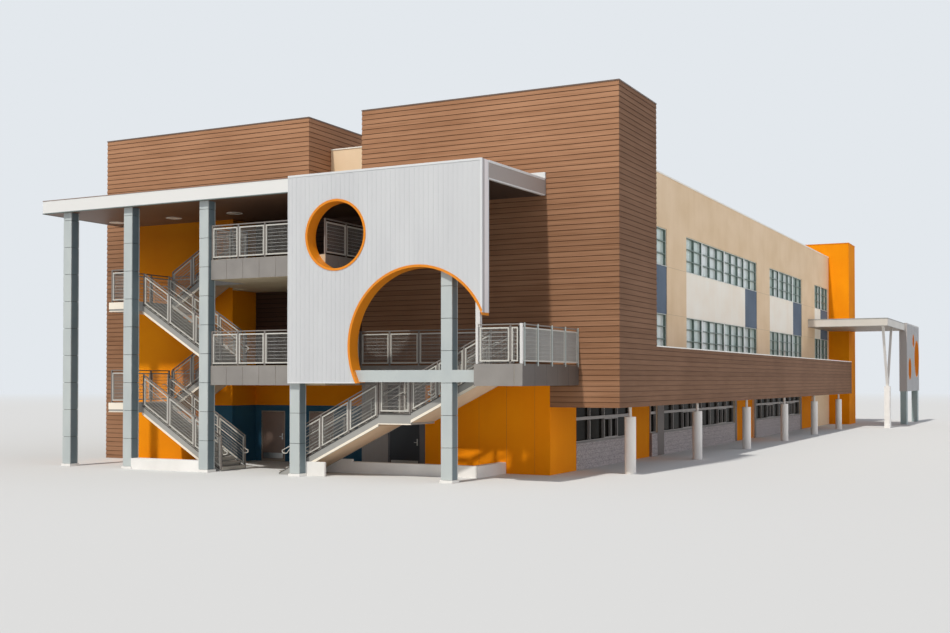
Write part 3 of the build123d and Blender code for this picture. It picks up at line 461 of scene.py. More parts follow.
# Terraces: a plaster soffit and floor behind a long parapet. The parapet, the towers and the strip at their
# foot are clad in fibre-cement lap boards, 104 mm to the weather, in brown. Each board leans out over the
# one below, and corners are mitred.
TOWER_SIDE = 6465
BAND_BACK = TOWER_BACK + 24100
BAND_TOP, TOWER_TOP = 2540, 7545
ROOF_LOW, ROOF_HIGH = 5465, 5745
RIGHT_TOWER_LEFT, LEFT_TOWER_RIGHT, STAIR_WALL_LEFT, RECESS_LEFT = 725, -645, -5735, -2705
BOARD, LIP = 104, 12
dress(stucco("terrace_plaster", "#8F7F6C", "#A39280"), "terrace_decks")


def boards_paint(name, dark, light, lap_shade):
    """Satin paint on boards: grain drawn at 25 mm along each, tone changing from board to board, and painted
    shade at the top of each, under the edge of the next. Painted light makes the boards lighter higher up,
    and painted shade makes those of the right-hand side darker."""
    tree = empty_tree(name)
    place = places(tree)
    rows = add(tree, "Math", {0: place["Z"], 1: 1 / (BOARD * MM), 2: 1000 - TERRACE_UNDER / BOARD},
               operation="MULTIPLY_ADD")
    row = add(tree, "Math", {0: rows}, operation="FLOOR")
    within = add(tree, "Math", {0: rows}, operation="FRACT")
    tone = add(tree, "TexWhiteNoise", {"W": row}, noise_dimensions="1D")
    figure = grain(tree, 25, (30, 30, 1), 2.0)
    mottled = add(tree, "Math", {0: tone, 1: 0.3, 2: grain(tree, 1800)}, operation="MULTIPLY_ADD")
    both = add(tree, "Math", {0: mottled, 1: figure}, operation="ADD")
    paint = shade(tree, both, dark, light, 0.8, 1.5)
    # Painted light: boards are drawn lighter with height, from 0.84 of their value below 4.6 m to 1.12 above
    # 6.4 m.
    painted_light_by_height = add(tree, "MapRange", {"Value": place["Z"], "From Min": 4.6, "From Max": 6.4,
                                      "To Min": 0.84, "To Max": 1.12})
    # Painted shade: boards on the right-hand side of the right tower are drawn at 0.64 of their value.
    side = add(tree, "Math", {0: place["X"], 1: (TOWER_SIDE + 1) * MM}, operation="GREATER_THAN")
    value = add(tree, "MapRange", {"Value": side, "To Min": painted_light_by_height, "To Max": 0.64})
    paint = add(tree, "HueSaturation", {"Color": paint, "Value": value})
    # Painted shade: the top of each board, under the lip of the next, is mixed towards the lap shade colour.
    return surface(name, shade(tree, within, paint, lap_shade, 0.85, 0.93), 0.72, figure, 0.4, tree,
                   Specular_IOR_Level=0.2)


def swept(loops, closed=False):
    """Points and faces of a body through cross-sections; it has two flat ends, or closes on itself."""
    count, last = len(loops[0]), len(loops) - 1
    faces = []
    for i in range(last + closed):
        a, b = i * count, (i + 1) % len(loops) * count
        faces += [(a + k, a + (k + 1) % count, b + (k + 1) % count, b + k) for k in range(count)]
    if not closed:
        faces += [tuple(range(count - 1, -1, -1)), tuple(range(last * count, (last + 1) * count))]
    return [point for loop in loops for point in loop], faces


def lapped(path, z0, z1, closed=False):
    """Lap boards, one part for each row, along a plan line that has the open air on its right."""
    count = len(path)
    sides = [(Vector(path[(i + 1) % count]) - Vector(path[i])).normalized() for i in range(count)]
    sides = [Vector((s.y, -s.x)) for s in sides]
    boards = []
    low = TERRACE_UNDER + math.floor((z0 - TERRACE_UNDER) / BOARD) * BOARD
    while low < z1 - 3:
        bottom, top = max(low, z0), min(low + BOARD, z1)
        out_low = LIP - (LIP - 2) * (bottom - low) / BOARD
        out_high = LIP - (LIP - 2) * (top - low) / BOARD
        loops = []
        for i, place in enumerate(path):
            after = sides[i] if closed or i < count - 1 else sides[i - 1]
            before = sides[i - 1] if closed or i > 0 else after
            lean = (before + after) / (1 + before.dot(after))
            loops.append([(place[0] + lean.x * out, place[1] + lean.y * out, z)
                          for out, z in ((0, top), (out_high, top), (out_low, bottom), (0, bottom))])
        boards.append(swept(loops, closed))
        low += BOARD
    return boards


def right_corner(left, back, inner):
    """Plan line round the right tower's front and outer side."""
    return [(left, FRONT), (TOWER_SIDE, FRONT), (TOWER_SIDE, back), (inner, back)]


def left_corner(back):
    """Plan line round the left tower's outer side and front."""
    return [(-WALL_SIDE, back), (-TOWER_SIDE, back), (-TOWER_SIDE, FRONT), (STAIR_WALL_LEFT, FRONT)]


left_top = [(-TOWER_SIDE, FRONT), (LEFT_TOWER_RIGHT, FRONT), (LEFT_TOWER_RIGHT, TOWER_BACK),
            (-TOWER_SIDE, TOWER_BACK)]
brown = boards_paint("brown_fibre_cement_boards", "#8E6548", "#A67B5C", "#4E3425")
dress(brown, "terrace_bands", "right_tower_walls", "left_tower_walls")
joined("right_tower_boards",
       lapped(right_corner(WALL_SIDE, BAND_BACK, WALL_SIDE), TERRACE_UNDER, UNDERSIDES[0])
       + lapped(right_corner(RIGHT_TOWER_LEFT, BAND_BACK, WALL_SIDE), UNDERSIDES[0], BAND_TOP)
       + lapped(right_corner(RIGHT_TOWER_LEFT, TOWER_BACK, WALL_SIDE), BAND_TOP, ROOF_HIGH)
       + lapped(right_corner(RIGHT_TOWER_LEFT, TOWER_BACK, RIGHT_TOWER_LEFT), ROOF_HIGH, TOWER_TOP, True),
       brown, "brown_siding")
joined("left_tower_boards",
       lapped(left_corner(TOWER_BACK), 0, TERRACE_UNDER)
       + lapped(left_corner(BAND_BACK), TERRACE_UNDER, BAND_TOP)
       + lapped(left_corner(TOWER_BACK), BAND_TOP, ROOF_HIGH)
       + lapped(left_top, ROOF_HIGH, TOWER_TOP, True),
       brown, "brown_siding")
# Painted shade: the boards in the recess are drawn far darker than the tower boards, for the deep shade under
# the decks and roof.
recess_shade_boards = boards_paint("recess_boards_painted_shade", "#4A342A", "#563E32", "#231812")
dress(recess_shade_boards, "recess_side_wall", "recess_back_wall")
recess = [(RECESS_LEFT, RECESS_FACE), (RIGHT_TOWER_LEFT, RECESS_FACE), (RIGHT_TOWER_LEFT, FRONT)]
joined("recess_boards", lapped(recess, FLOORS[0], ROOF_LOW), recess_shade_boards, "brown_siding")

# Copings: folded sheet metal over the top of each wall, satin painted, in lengths of 3 m whose joints are
# covered by short straps. The towers' are dark brown, the far tower's orange, the others white.
WALL_CAP, BAND_CAP = 7005, 2565
CAP_LENGTH = 1500
white_sheet = surface("white_folded_sheet", "#F3EFE4", 0.4)
orange_sheet = surface("orange_folded_sheet", "#E2870F", 0.42)
dress(white_sheet, "wall_caps")
dress(surface("brown_folded_sheet", "#6B5A50", 0.4), "tower_caps")
dress(orange_sheet, "far_tower_cap")
straps = []
for y in range(TOWER_BACK + CAP_LENGTH, REAR - 300, CAP_LENGTH):
    straps.append(block(WALL_SIDE - 165, WALL_SIDE + 17, y, y + 60, WALL_CAP, WALL_CAP + 2))
    if y < BAND_BACK - 300:
        straps.append(block(TOWER_SIDE - 165, TOWER_SIDE + 15, y, y + 60, BAND_CAP, BAND_CAP + 2))
straps.append(block(WALL_SIDE + 1, WALL_SIDE + 16, TOWER_BACK, REAR, WALL_CAP - 40, WALL_CAP - 1))
build("coping_straps", straps + mirror(straps), white_sheet, "white_coping")

# Round columns under the terraces: cast concrete painted off-white, each with a short steel post on top.
dress(stucco("painted_concrete_column", "#E8E2DA", "#F3EEE7", 14), "round_columns")

# Screen in front of the stairs: sheet steel in satin silver-grey, with upright ribs at 100 mm. Trims close
# its edges, a groove and a pale flat panel its right end, and its round window and arch are lined with
# rolled sheet painted orange.
SCREEN_FRONT = FRONT - 2525
SCREEN_BACK = SCREEN_FRONT + 275
SCREEN_LEFT, SCREEN_RIGHT, SCREEN_BOTTOM, SCREEN_TOP = 645, 4820, 1795, 5780
SCREEN_END_FOOT, SCREEN_ROOF_LOW = 3050, 5455
ROUND, ARCH = (1730, 4590, 662.5), (3490, 2475, 1460)
RIB, RIB_PITCH = 25, 100


def silver(name, dark, light):
    """Satin paint on sheet steel: faint clouds drawn out downwards, and the fine texture of the paint."""
    tree = empty_tree(name)
    clouds = grain(tree, 900, (1, 1, 4))
    return surface(name, shade(tree, clouds, dark, light), 0.42, grain(tree, 30), 0.15, tree)


def rib_runs(along, holes, low, high, margin):
    """Heights between which an upright rib isn't interrupted by round holes, each a centre and a radius."""
    cuts, runs = [], []
    for centre, height, radius in holes:
        off = along - centre
        if abs(off) < radius + margin:
            half = math.sqrt((radius + margin + 6) ** 2 - off ** 2)
            cuts.append((height - half, height + half))
    for cut_low, cut_high in sorted(cuts) + [(high, high)]:
        if cut_low > low + 10:
            runs.append((low, cut_low))
        low = max(low, cut_high)
    return runs


def rolled_edge(centre, height, radius, first, last, count=72):
    """Points and faces of the edge round part of a hole, from one angle to another, in degrees."""
    inner, outer, near, far = radius - 4, radius + 15, SCREEN_FRONT - 12, SCREEN_FRONT - 1
    turns = [math.radians(first + (last - first) * k / count) for k in range(count + 1)]
    return swept([[(centre + r * math.cos(turn), y, height + r * math.sin(turn))
                   for r, y in ((inner, near), (outer, near), (outer, far), (inner, far))] for turn in turns])


silver_sheet = silver("silver_ribbed_sheet", "#C3C4C5", "#CFD0D0")
trim_sheet = silver("silver_edge_trim", "#D2D3D3", "#DBDCDB")
dress(silver_sheet, "screen_wall")
dress(orange_sheet, "orange_rims")
ribs = []
for y, top in ((SCREEN_FRONT - 4, SCREEN_TOP - 40), (SCREEN_BACK, SCREEN_ROOF_LOW)):
    for x in range(SCREEN_LEFT + 75, SCREEN_RIGHT - 65, RIB_PITCH):
        ribs += [block(x, x + RIB, y, y + 4, z0, z1)
                 for z0, z1 in rib_runs(x + 12, (ROUND, ARCH), SCREEN_BOTTOM, top, 6)]
build("screen_ribs", ribs, silver_sheet, "ribbed_metal", edge=1.5)
proud, end_out = SCREEN_FRONT - 8, SCREEN_RIGHT + 6
build("screen_trims", [
    block(SCREEN_LEFT - 4, SCREEN_LEFT + 12, proud, SCREEN_FRONT, SCREEN_BOTTOM - 6, SCREEN_TOP + 6),
    block(SCREEN_RIGHT - 30, end_out, proud, SCREEN_FRONT, SCREEN_END_FOOT, SCREEN_TOP + 6),
    block(SCREEN_LEFT + 12, SCREEN_RIGHT - 30, proud, SCREEN_FRONT, SCREEN_TOP - 34, SCREEN_TOP + 6),
    block(SCREEN_LEFT + 12, 2180, proud, SCREEN_FRONT, SCREEN_BOTTOM - 6, SCREEN_BOTTOM + 18),
    block(SCREEN_RIGHT, end_out, SCREEN_FRONT, SCREEN_FRONT + 24, SCREEN_END_FOOT, SCREEN_TOP + 6),
    block(SCREEN_RIGHT, end_out, SCREEN_BACK - 40, SCREEN_BACK, SCREEN_END_FOOT, SCREEN_ROOF_LOW - 5),
    block(SCREEN_LEFT - 4, SCREEN_LEFT, SCREEN_FRONT, SCREEN_BACK, SCREEN_BOTTOM - 6, SCREEN_TOP + 6),
], trim_sheet, "ribbed_metal", edge=2)
for name, out, near, far, paint in (
        ("groove", 3, SCREEN_FRONT + 24, SCREEN_FRONT + 100, surface("warm_grey_groove", "#B3AEAD", 0.45)),
        ("panel", 5, SCREEN_FRONT + 100, SCREEN_BACK - 40, surface("pale_end_panel", "#EDE7E5", 0.45))):
    end_face = block(SCREEN_RIGHT, SCREEN_RIGHT + out, near, far, SCREEN_END_FOOT, SCREEN_TOP)
    build(f"screen_end_{name}", [end_face], paint, "ribbed_metal")
arch_foot = math.degrees(math.asin((SCREEN_BOTTOM - ARCH[1]) / ARCH[2]))
arch_end = math.degrees(math.acos((SCREEN_RIGHT - ARCH[0]) / ARCH[2]))
joined("orange_rim_lips", [rolled_edge(*ROUND, 0, 360), rolled_edge(*ARCH, 180 - arch_foot, arch_end)],
       orange_sheet, "orange_metal")

# Roofs over the stairs and behind the screen: steel fascias, white over the stairs and grey-brown beside
# the screen, each with a dark drip edge, over a plaster soffit with flush round lights. The soffits are
# drawn dark brown, as painted shade under the roofs.
ROOF_LEFT = -5880
SCREEN_ROOF_RIGHT, SCREEN_ROOF_HIGH = 4955, 5905
SPLAY = 135 / (FRONT - SCREEN_BACK)
SOFFIT_LIGHTS = [(x, FRONT - 770) for x in (-5420, -3740, -2050, -375)]


def by_side(tree, edge, below, above=None):
    """Colour of a roof's edges, with another one below as painted shade and, where it is given, a third
    above.
    """
    facing = add(tree, "SeparateXYZ", {0: add(tree, "NewGeometry", out="Normal")}, "Z")
    shaded_underside = add(tree, "Math", {0: facing, 1: -0.5}, operation="LESS_THAN")
    paint = shade(tree, shaded_underside, edge, below, 0.0, 1.0)
    if above is None:
        return paint
    over = add(tree, "Math", {0: facing, 1: 0.5}, operation="GREATER_THAN")
    return shade(tree, over, paint, above, 0.0, 1.0)


def roof_finishes(name, fascia, soffit, top):
    """Colours of the fascia, soffit and top of one roof, all of them half dull with a fine grain; the
    soffit's colour is painted shade.
    """
    tree = empty_tree(name)
    return surface(name, by_side(tree, fascia, soffit, top), 0.5, grain(tree, 20), 0.5, tree)


def stair_roof_edge(out, deep, z0, z1):
    """Blocks of a strip along the front and the left side of the stair roof."""
    return [block(ROOF_LEFT - out, SCREEN_LEFT - 6, SCREEN_FRONT - out, SCREEN_FRONT + deep, z0, z1),
            block(ROOF_LEFT - out, ROOF_LEFT + deep, SCREEN_FRONT + deep, FRONT, z0, z1)]


def ring(cx, cy, z0, z1, outer, inner, count=40):
    """Points and faces of a flat ring or disc about an upright axis."""
    turns = [2 * math.pi * k / count for k in range(count)]
    return swept([[(cx + radius * math.cos(turn), cy + radius * math.sin(turn), z) for turn in turns]
                  for radius, z in ((outer, z0), (outer, z1), (inner, z1), (inner, z0))], True)


# Painted shade: the soffits under both roofs are drawn dark brown.
dress(roof_finishes("stair_roof_finishes", "#E0DFDB", "#664A37", MEMBRANE), "stair_roof")
dress(roof_finishes("screen_roof_finishes", "#A39A94", "#3F322B", "#C9C8C2"), "screen_roof")
build("roof_edge_caps", stair_roof_edge(6, 60, ROOF_HIGH - 8, ROOF_HIGH + 8),
      surface("brown_edge_cap", "#8A7468", 0.45), "grey_panel", edge=2)
build("roof_drip_edges", stair_roof_edge(5, 14, ROOF_LOW - 6, ROOF_LOW + 14),
      surface("green_grey_drip_edge", "#5E6A66", 0.45), "stringer_paint", edge=1.5)
run = FRONT - SCREEN_BACK - 62
build("screen_roof_edges", [
    solid((SCREEN_RIGHT - 40, SCREEN_BACK, SCREEN_TOP - 34), (SPLAY * run, run, 0), (48, 0, 0), (0, 0, 42)),
    solid((SCREEN_RIGHT - 60, SCREEN_BACK, SCREEN_ROOF_LOW - 8), (SPLAY * run, run, 0), (68, 0, 0),
          (0, 0, 24)),
    block(SCREEN_ROOF_RIGHT - 3, SCREEN_ROOF_RIGHT + 8, FRONT - 62, FRONT - 14, SCREEN_TOP - 2,
          SCREEN_ROOF_HIGH),
    block(SCREEN_LEFT, SCREEN_ROOF_RIGHT, FRONT - 66, FRONT - 60, SCREEN_TOP, SCREEN_ROOF_HIGH + 2),
], silver("white_fascia_sheet", "#D9DAD8", "#E2E2E0"), "white_coping", edge=2)
joined("soffit_light_rims", [ring(x, y, ROOF_LOW - 8, ROOF_LOW + 2, 175, 150) for x, y in SOFFIT_LIGHTS],
       surface("spun_white_rim", "#D8D4CB", 0.4), "white_coping")
joined("soffit_light_lenses", [ring(x, y, ROOF_LOW - 5, ROOF_LOW + 1, 150, 1) for x, y in SOFFIT_LIGHTS],
       surface("opal_acrylic", "#E9E4D6", 0.25, IOR=1.49), "white_coping")

# Square columns: steel posts boxed in with folded aluminium panels, 583 mm high, butted with open joints,
# each standing on a white concrete pad. Folded white covers close the thin post under the arch and two posts
# of the balcony's guard. COLUMNS holds each column's right face and top, which is None under the arch.
COLUMN_NEAR = FRONT - 2440
COLUMN_WIDE, PAD, COLUMN_PANEL = 225, 50, 583
COLUMNS = ((-5122.5, ROOF_LOW), (-3397.5, ROOF_LOW), (-1377.5, ROOF_LOW), (857.5, SCREEN_BOTTOM),
           (4177.5, None))
TOPPING = FLOORS[0] + 4
CASING = (4694, 4780, FRONT - 2523, FRONT - 2437)


def panel_paint(name, dark, light, roughness, size, stretch=(1, 1, 1)):
    """Factory paint on flat panels: smooth satin, a little cloudy in patches of size millimetres."""
    tree = empty_tree(name)
    return surface(name, shade(tree, grain(tree, size, stretch), dark, light), roughness, tree=tree)


def arch_under(x):
    """Height at which a column meets the lining of the arch."""
    return ARCH[1] + math.sqrt((ARCH[2] - 30) ** 2 - (x - ARCH[0]) ** 2) - 2


def plate(x0, x1, y0, y1, z0, z1):
    """A panel of a column; with no top of its own it is cut to the arch."""
    made = block(x0, x1, y0, y1, z0, z1 or 1)
    if z1 is None:
        for k in (4, 5, 6, 7):
            made[k] = Vector((made[k].x, made[k].y, arch_under(made[k].x)))
    return made


fronts, side_plates, cores, pads = [], [], [], []
for right, top in COLUMNS:
    left, far = right - COLUMN_WIDE, COLUMN_NEAR + COLUMN_WIDE
    ceiling = top or arch_under(right)
    low = PAD
    while low < ceiling - 5:
        high = min(low + COLUMN_PANEL, ceiling)
        if ceiling - high < 120:
            high = ceiling
        head = None if top is None and high == ceiling else high - (4 if high < ceiling else 0)
        fronts += [plate(left, right, y, y + 24, low + 4, head) for y in (COLUMN_NEAR, far - 24)]
        side_plates += [plate(x, x + 18, COLUMN_NEAR + 25, far - 25, low + 4, head)
                        for x in (left + 2, right - 20)]
        low = high
    cores.append(block(left + 22, right - 22, COLUMN_NEAR + 20, far - 20, PAD, ceiling - 1))
    pads.append(block(left - 20, right + 20, COLUMN_NEAR - 20, far + 20, 0, PAD))
column_paint = panel_paint("blue_grey_column_panel", "#B0B7B6", "#BCC2BF", 0.42, 420, (1, 1, 2))
# Painted shade: the columns' side panels are drawn much darker than their fronts.
shaded_side_paint = panel_paint("column_side_painted_shade", "#66757A", "#728186", 0.42, 420, (1, 1, 2))
white_concrete = broomed_concrete("white_precast_concrete", "#E2DFD9", "#EFECE7")
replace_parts(build("column_panels", fronts, column_paint, "column_panel", edge=2), "front_columns")
build("column_side_panels", side_plates, shaded_side_paint, "column_panel", edge=1.5)
build("column_cores", cores, surface("dark_joint_backing", "#2E3434", 0.8), "column_panel")
build("column_pads", pads, white_concrete, "white_concrete", edge=4)
dress(column_paint, "tie_beams")
left, right, near, far = CASING
casing = [plate(left, right, y, y + 3, TOPPING, None) for y in (near, far - 3)]
casing += [plate(x, x + 3, near + 3, far - 3, TOPPING, None) for x in (left, right - 3)]
casing += [block(4743, 4777, FRONT - 2597, FRONT - 2563, TOPPING, 2838),
           block(5588, 5640, FRONT - 2600, FRONT - 2562, TOPPING, 2838)]
build("balcony_post_casing", casing, surface("white_post_enamel", "#D4D2CE", 0.4), "white_coping")

# Decks and balcony: concrete on steel, with a cream plaster soffit. The edges are faced with flat grey
# composite panels, 425 mm wide with open joints; those at the balcony's side are drawn darker, as painted
# shade. Each deck has a middle part, one on its left that leads to the stair, and one on its right.
DECK_PANEL = 425
DECK_LEFT, DECK_RIGHT, DECK_NEAR = -1377, 632, FRONT - 2350
STAIR_PART_LEFT, STAIR_PART_NEAR = -2285, FRONT - 1200
RIGHT_PART_RIGHT, RIGHT_PART_NEAR = 1315, FRONT - 2248
BALCONY_LEFT, BALCONY_RIGHT, BALCONY_FRONT = 4695, 5640, FRONT - 2600
NOTCH_RIGHT, NOTCH_NEAR, NOTCH_FAR = 4838, FRONT - 2150, FRONT - 1250
WALKWAY_FRONT = FRONT - 1000


def panel_ends(start, end, pitch):
    """Both ends of each panel between two points, with 6 mm joints."""
    count = max(1, round((end - start) / pitch))
    step = (end - start) / count
    return [(start + k * step + 3, start + (k + 1) * step - 3) for k in range(count)]


def notched(name, left_in, edge_in, z0, z1, material, slot):
    """A slab of the balcony's plan, with the notch for the head of the stair in its left edge."""
    left, right, near = BALCONY_LEFT + left_in, BALCONY_RIGHT - edge_in, BALCONY_FRONT + edge_in
    plan = [(left, near), (right, near), (right, FRONT), (left, FRONT), (left, NOTCH_FAR),
            (NOTCH_RIGHT, NOTCH_FAR), (NOTCH_RIGHT, NOTCH_NEAR), (left, NOTCH_NEAR)]
    return shape(name, *swept([[(x, y, z) for x, y in plan] for z in (z0, z1)]), material, slot)


deck_plaster = stucco("cream_plaster_soffit", "#B7A88C", "#C7B99D")
dress(deck_plaster, "second_floor_deck", "third_floor_deck")
taupe_panel = panel_paint("taupe_composite_panel", "#837E79", "#8F8A84", 0.45, 500)
# Painted shade: the balcony's side panels are drawn darker than the front ones.
balcony_side_shade_paint = panel_paint("taupe_panel_painted_shade", "#554E49", "#5F5852", 0.45, 500)
deck_faces = []
for underside, floor in zip(UNDERSIDES, FLOORS):
    z0, z1 = underside + 2, floor - 2
    deck_faces += [block(a, b, DECK_NEAR - 8, DECK_NEAR, z0, z1)
                   for a, b in panel_ends(DECK_LEFT, DECK_RIGHT, DECK_PANEL)]
    deck_faces += [block(a, b, STAIR_PART_NEAR - 8, STAIR_PART_NEAR, z0, z1)
                   for a, b in panel_ends(STAIR_PART_LEFT, DECK_LEFT, 450)]
    deck_faces += [block(DECK_LEFT - 8.5, DECK_LEFT - 0.5, a, b, z0, z1)
                   for a, b in panel_ends(DECK_NEAR, STAIR_PART_NEAR - 8, DECK_PANEL)]
deck_faces += [block(RIGHT_PART_RIGHT, RIGHT_PART_RIGHT + 8, a, b, UNDERSIDES[1] + 2, FLOORS[1] - 2)
               for a, b in panel_ends(RIGHT_PART_NEAR, FRONT, DECK_PANEL)]
deck_faces += [block(a, b, WALKWAY_FRONT - 8, WALKWAY_FRONT, UNDERSIDES[0] + 2, FLOORS[0] - 2)
               for a, b in panel_ends(RIGHT_PART_RIGHT, 4690, DECK_PANEL)]
build("deck_edge_panels", deck_faces, taupe_panel, "grey_panel", edge=2)
toppings = [block(x0, x1, y0, y1, z, z + 4) for z in FLOORS for x0, x1, y0, y1 in (
    (DECK_LEFT, DECK_RIGHT, DECK_NEAR + 5, FRONT - 2),
    (DECK_RIGHT + 1, RIGHT_PART_RIGHT - 5, RIGHT_PART_NEAR, FRONT - 2),
    (STAIR_PART_LEFT + 2, DECK_LEFT - 1, STAIR_PART_NEAR + 4, FRONT - 2),
    (RECESS_LEFT + 5, RIGHT_TOWER_LEFT - 5, FRONT, RECESS_FACE - 4))]
toppings.append(block(1311, BALCONY_LEFT, WALKWAY_FRONT + 4, FRONT - 14, FLOORS[0], TOPPING))
build("deck_toppings", toppings, floor_concrete, "concrete_floor")
balcony_slab = notched("balcony_slab", 2, 8, UNDERSIDES[0], FLOORS[0] - 4, deck_plaster, "grey_panel")
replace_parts(balcony_slab, "balcony")
balcony_faces = [block(a, b, BALCONY_FRONT, BALCONY_FRONT + 8, UNDERSIDES[0], FLOORS[0] - 2)
                 for a, b in ((BALCONY_LEFT + 2, 5477), (5483, BALCONY_RIGHT))]
build("balcony_edge_panels", balcony_faces, taupe_panel, "grey_panel", edge=2)
side_faces = [block(BALCONY_RIGHT - 8, BALCONY_RIGHT, a, b, UNDERSIDES[0], FLOORS[0] - 2)
              for a, b in panel_ends(BALCONY_FRONT + 11, FRONT, 520)]
build("balcony_side_panels", side_faces, balcony_side_shade_paint, "grey_panel", edge=2)
notched("balcony_topping", 6, 10, FLOORS[0] - 4, FLOORS[0], floor_concrete, "concrete_floor")

# Stairs: precast treads with a dark grit strip at each nosing and steel risers, between steel stringers
# with flanges; a plaster board closes the underside. Landings are concrete in a steel channel. A flight is
# given by its first nosing, the level of its foot, step, rise, number of steps, near side and width.
LANDINGS = (1370, 3505)
LANDING_LEFT, LANDING_RIGHT, LANDING_NEAR, LANDING_FAR = -4235, -3405, FRONT - 2215, FRONT - 300
RIGHT_STAIR, RIGHT_NEAR, RIGHT_WIDE = 170, FRONT - 2150, 900
REST_LEFT, REST_RIGHT, REST_LEVEL = 2457.5, 3160.5, 1220
STRINGER = 160
FLIGHTS = []
for base, landing in zip((0, FLOORS[0]), LANDINGS):
    FLIGHTS.append((-1305, base, -140, LANDINGS[0] / 16, 16, FRONT - 2100, 800))
    FLIGHTS.append((LANDING_RIGHT, landing, 140, (FLOORS[0] - LANDINGS[0]) / 9, 9, FRONT - 1200, 800))
FLIGHTS.append((RIGHT_STAIR, 0, 152.5, 76.25, 16, RIGHT_NEAR, RIGHT_WIDE))
FLIGHTS.append((REST_RIGHT, REST_LEVEL, 152.5, 76.25, 12, RIGHT_NEAR, RIGHT_WIDE))
stringer_paint = silver("light_grey_stringer_paint", "#96948F", "#A3A19B")
flange_paint = surface("cream_flange_paint", "#F0E6D4", 0.45)
dress(floor_concrete, "stair_treads")
dress(stringer_paint, "stair_stringers", "stair_landings")
# Painted light: the stair soffits are drawn lighter and warmer than the deck soffits, for light thrown up
# from the ground.
dress(stucco("stair_soffit_painted_light", "#CDB092", "#DCC1A4"), "stair_soffits")


def rest_bars(z0, z1):
    """Bars along both sides of the flat part of the right stair."""
    return [block(REST_LEFT, REST_RIGHT, y, y + 7, z0, z1) for y in (RIGHT_NEAR - 7, RIGHT_NEAR + RIGHT_WIDE)]


strips, risers, flanges, top_edges, channels = [], [], [], [], []
for x, z, step, rise, count, near, width in FLIGHTS:
    way = 1 if step > 0 else -1
    for k in range(count):
        nose, level, last = x + k * step, z + (k + 1) * rise, k == count - 1
        if not last:
            a, b = sorted((nose - 8 * way, nose + 22 * way))
            strips.append(block(a, b, near + 40, near + width - 40, level, level + 2))
        a, b = sorted((nose + 2 * way, nose + 6 * way))
        risers.append(block(a, b, near + 31, near + width - 31, z + k * rise, level - (8 if last else 60)))
    reach, climb = (count - 1) * step, (count - 1) * rise
    foot = 0 if z in (0, FLOORS[0]) else -STRINGER
    cut = (STRINGER + foot) / climb * reach
    for y in (near - 7, near + width):
        flanges.append(solid((x + cut, y, z + foot), (reach - cut, 0, climb - STRINGER - foot), (0, 7, 0),
                             (0, 0, 52)))
        top_edges.append(solid((x, y, z + 16), (reach, 0, climb), (0, 7, 0), (0, 0, 14)))
for top in LANDINGS:
    for z0, z1 in ((top - 200, top - 184), (top - 142, top)):
        channels += [block(LANDING_LEFT - 7, LANDING_RIGHT, LANDING_NEAR - 7, LANDING_NEAR, z0, z1),
                     block(LANDING_LEFT - 7, LANDING_LEFT, LANDING_NEAR, LANDING_FAR + 7, z0, z1),
                     block(LANDING_LEFT, LANDING_RIGHT, LANDING_FAR, LANDING_FAR + 7, z0, z1)]
build("nosing_strips", strips, surface("black_grit_strip", "#2B2A29", 0.95), "dark_paint")
build("stair_risers", risers, stringer_paint, "stringer_paint")
build("stringer_flanges", flanges, flange_paint, "white_coping")
# Painted shadow: a dark strip on top of each stringer and along the flat part's sides stands for the shadow
# gap under the guard panels.
build("stringer_top_edges", top_edges + rest_bars(REST_LEVEL - 14, REST_LEVEL),
      surface("painted_shadow_gap_strip", "#4A4845", 0.8), "dark_paint")
build("landing_channels", channels + rest_bars(REST_LEVEL - 200, REST_LEVEL - 180), flange_paint,
      "white_coping")

# Guards: square steel posts and a handrail in brown-grey paint. In each bay four clips hold a bright framed
# panel, filled with welded wire: 7 mm bars across and thin uprights, drawn at 26 mm and 3 mm thick. The
# balcony's side has a closer mesh between light posts that run past its edge.
POST, CLIP, FRAME, BAY, WIRE_PITCH = 30, 7, 26, 650, 26
GUARD_START = 335
RAIL_UP = 450
guard_paint = silver("brown_grey_guard_paint", "#77706A", "#857E78")
frame_silver = silver("silver_white_panel_frame", "#BAB7AE", "#C6C3BA")
dress(guard_paint, "left_stair_guards", "right_stair_guards", "deck_guards", "balcony_guards")
panel_frames, wires = [], []


def bay(start, run, across, low=43, high=640, mesh=WIRE_PITCH):
    """One framed panel from a post's edge to the next; run may climb, across is its thickness."""
    start, run, across = Vector(start), Vector(run), Vector(across)
    length = run.xy.length
    unit = run / length
    up = Vector((0, 0, 1))
    inset = CLIP + FRAME
    clear, tall = length - 2 * inset, high - low - 2 * FRAME

    def bar(pieces, at, reach, z0, z1, thick):
        corner = start + unit * at - across * (thick / 2) + up * z0
        pieces.append(solid(corner, unit * reach, across * thick, up * (z1 - z0)))
    bar(panel_frames, CLIP, length - 2 * CLIP, high - FRAME, high, FRAME)
    bar(panel_frames, CLIP, length - 2 * CLIP, low, low + FRAME, 34)
    for at in (CLIP, length - inset):
        bar(panel_frames, at, FRAME, low + FRAME, high - FRAME, FRAME)
    for at in (0, length - CLIP):
        for z in (low + 70, high - 90):
            bar(panel_frames, at, CLIP, z, z + 14, 8)
    rows = max(2, round(tall / 68))
    for k in range(1, rows):
        z = low + FRAME + tall * k / rows
        bar(wires, inset, clear, z - 3.5, z + 3.5, 7)
    columns = max(2, round(clear / mesh))
    thick = 3 * WIRE_PITCH / mesh
    for k in range(1, columns):
        bar(wires, inset + clear * k / columns - thick / 2, thick, low + FRAME, high - FRAME, 3)


def level_guard(x0, x1, y0, y1, level, mesh=WIRE_PITCH):
    """Bays of a guard from one end to the other; it runs along X where y0 is y1."""
    start, end = Vector((x0, y0, level)), Vector((x1, y1, level))
    length = (end - start).length
    unit = (end - start) / length
    count = max(2, round(length / BAY) + 1)
    pitch = (length - POST) / (count - 1)
    for k in range(count - 1):
        bay(start + unit * (k * pitch + POST), unit * (pitch - POST), (unit.y, unit.x, 0), mesh=mesh)


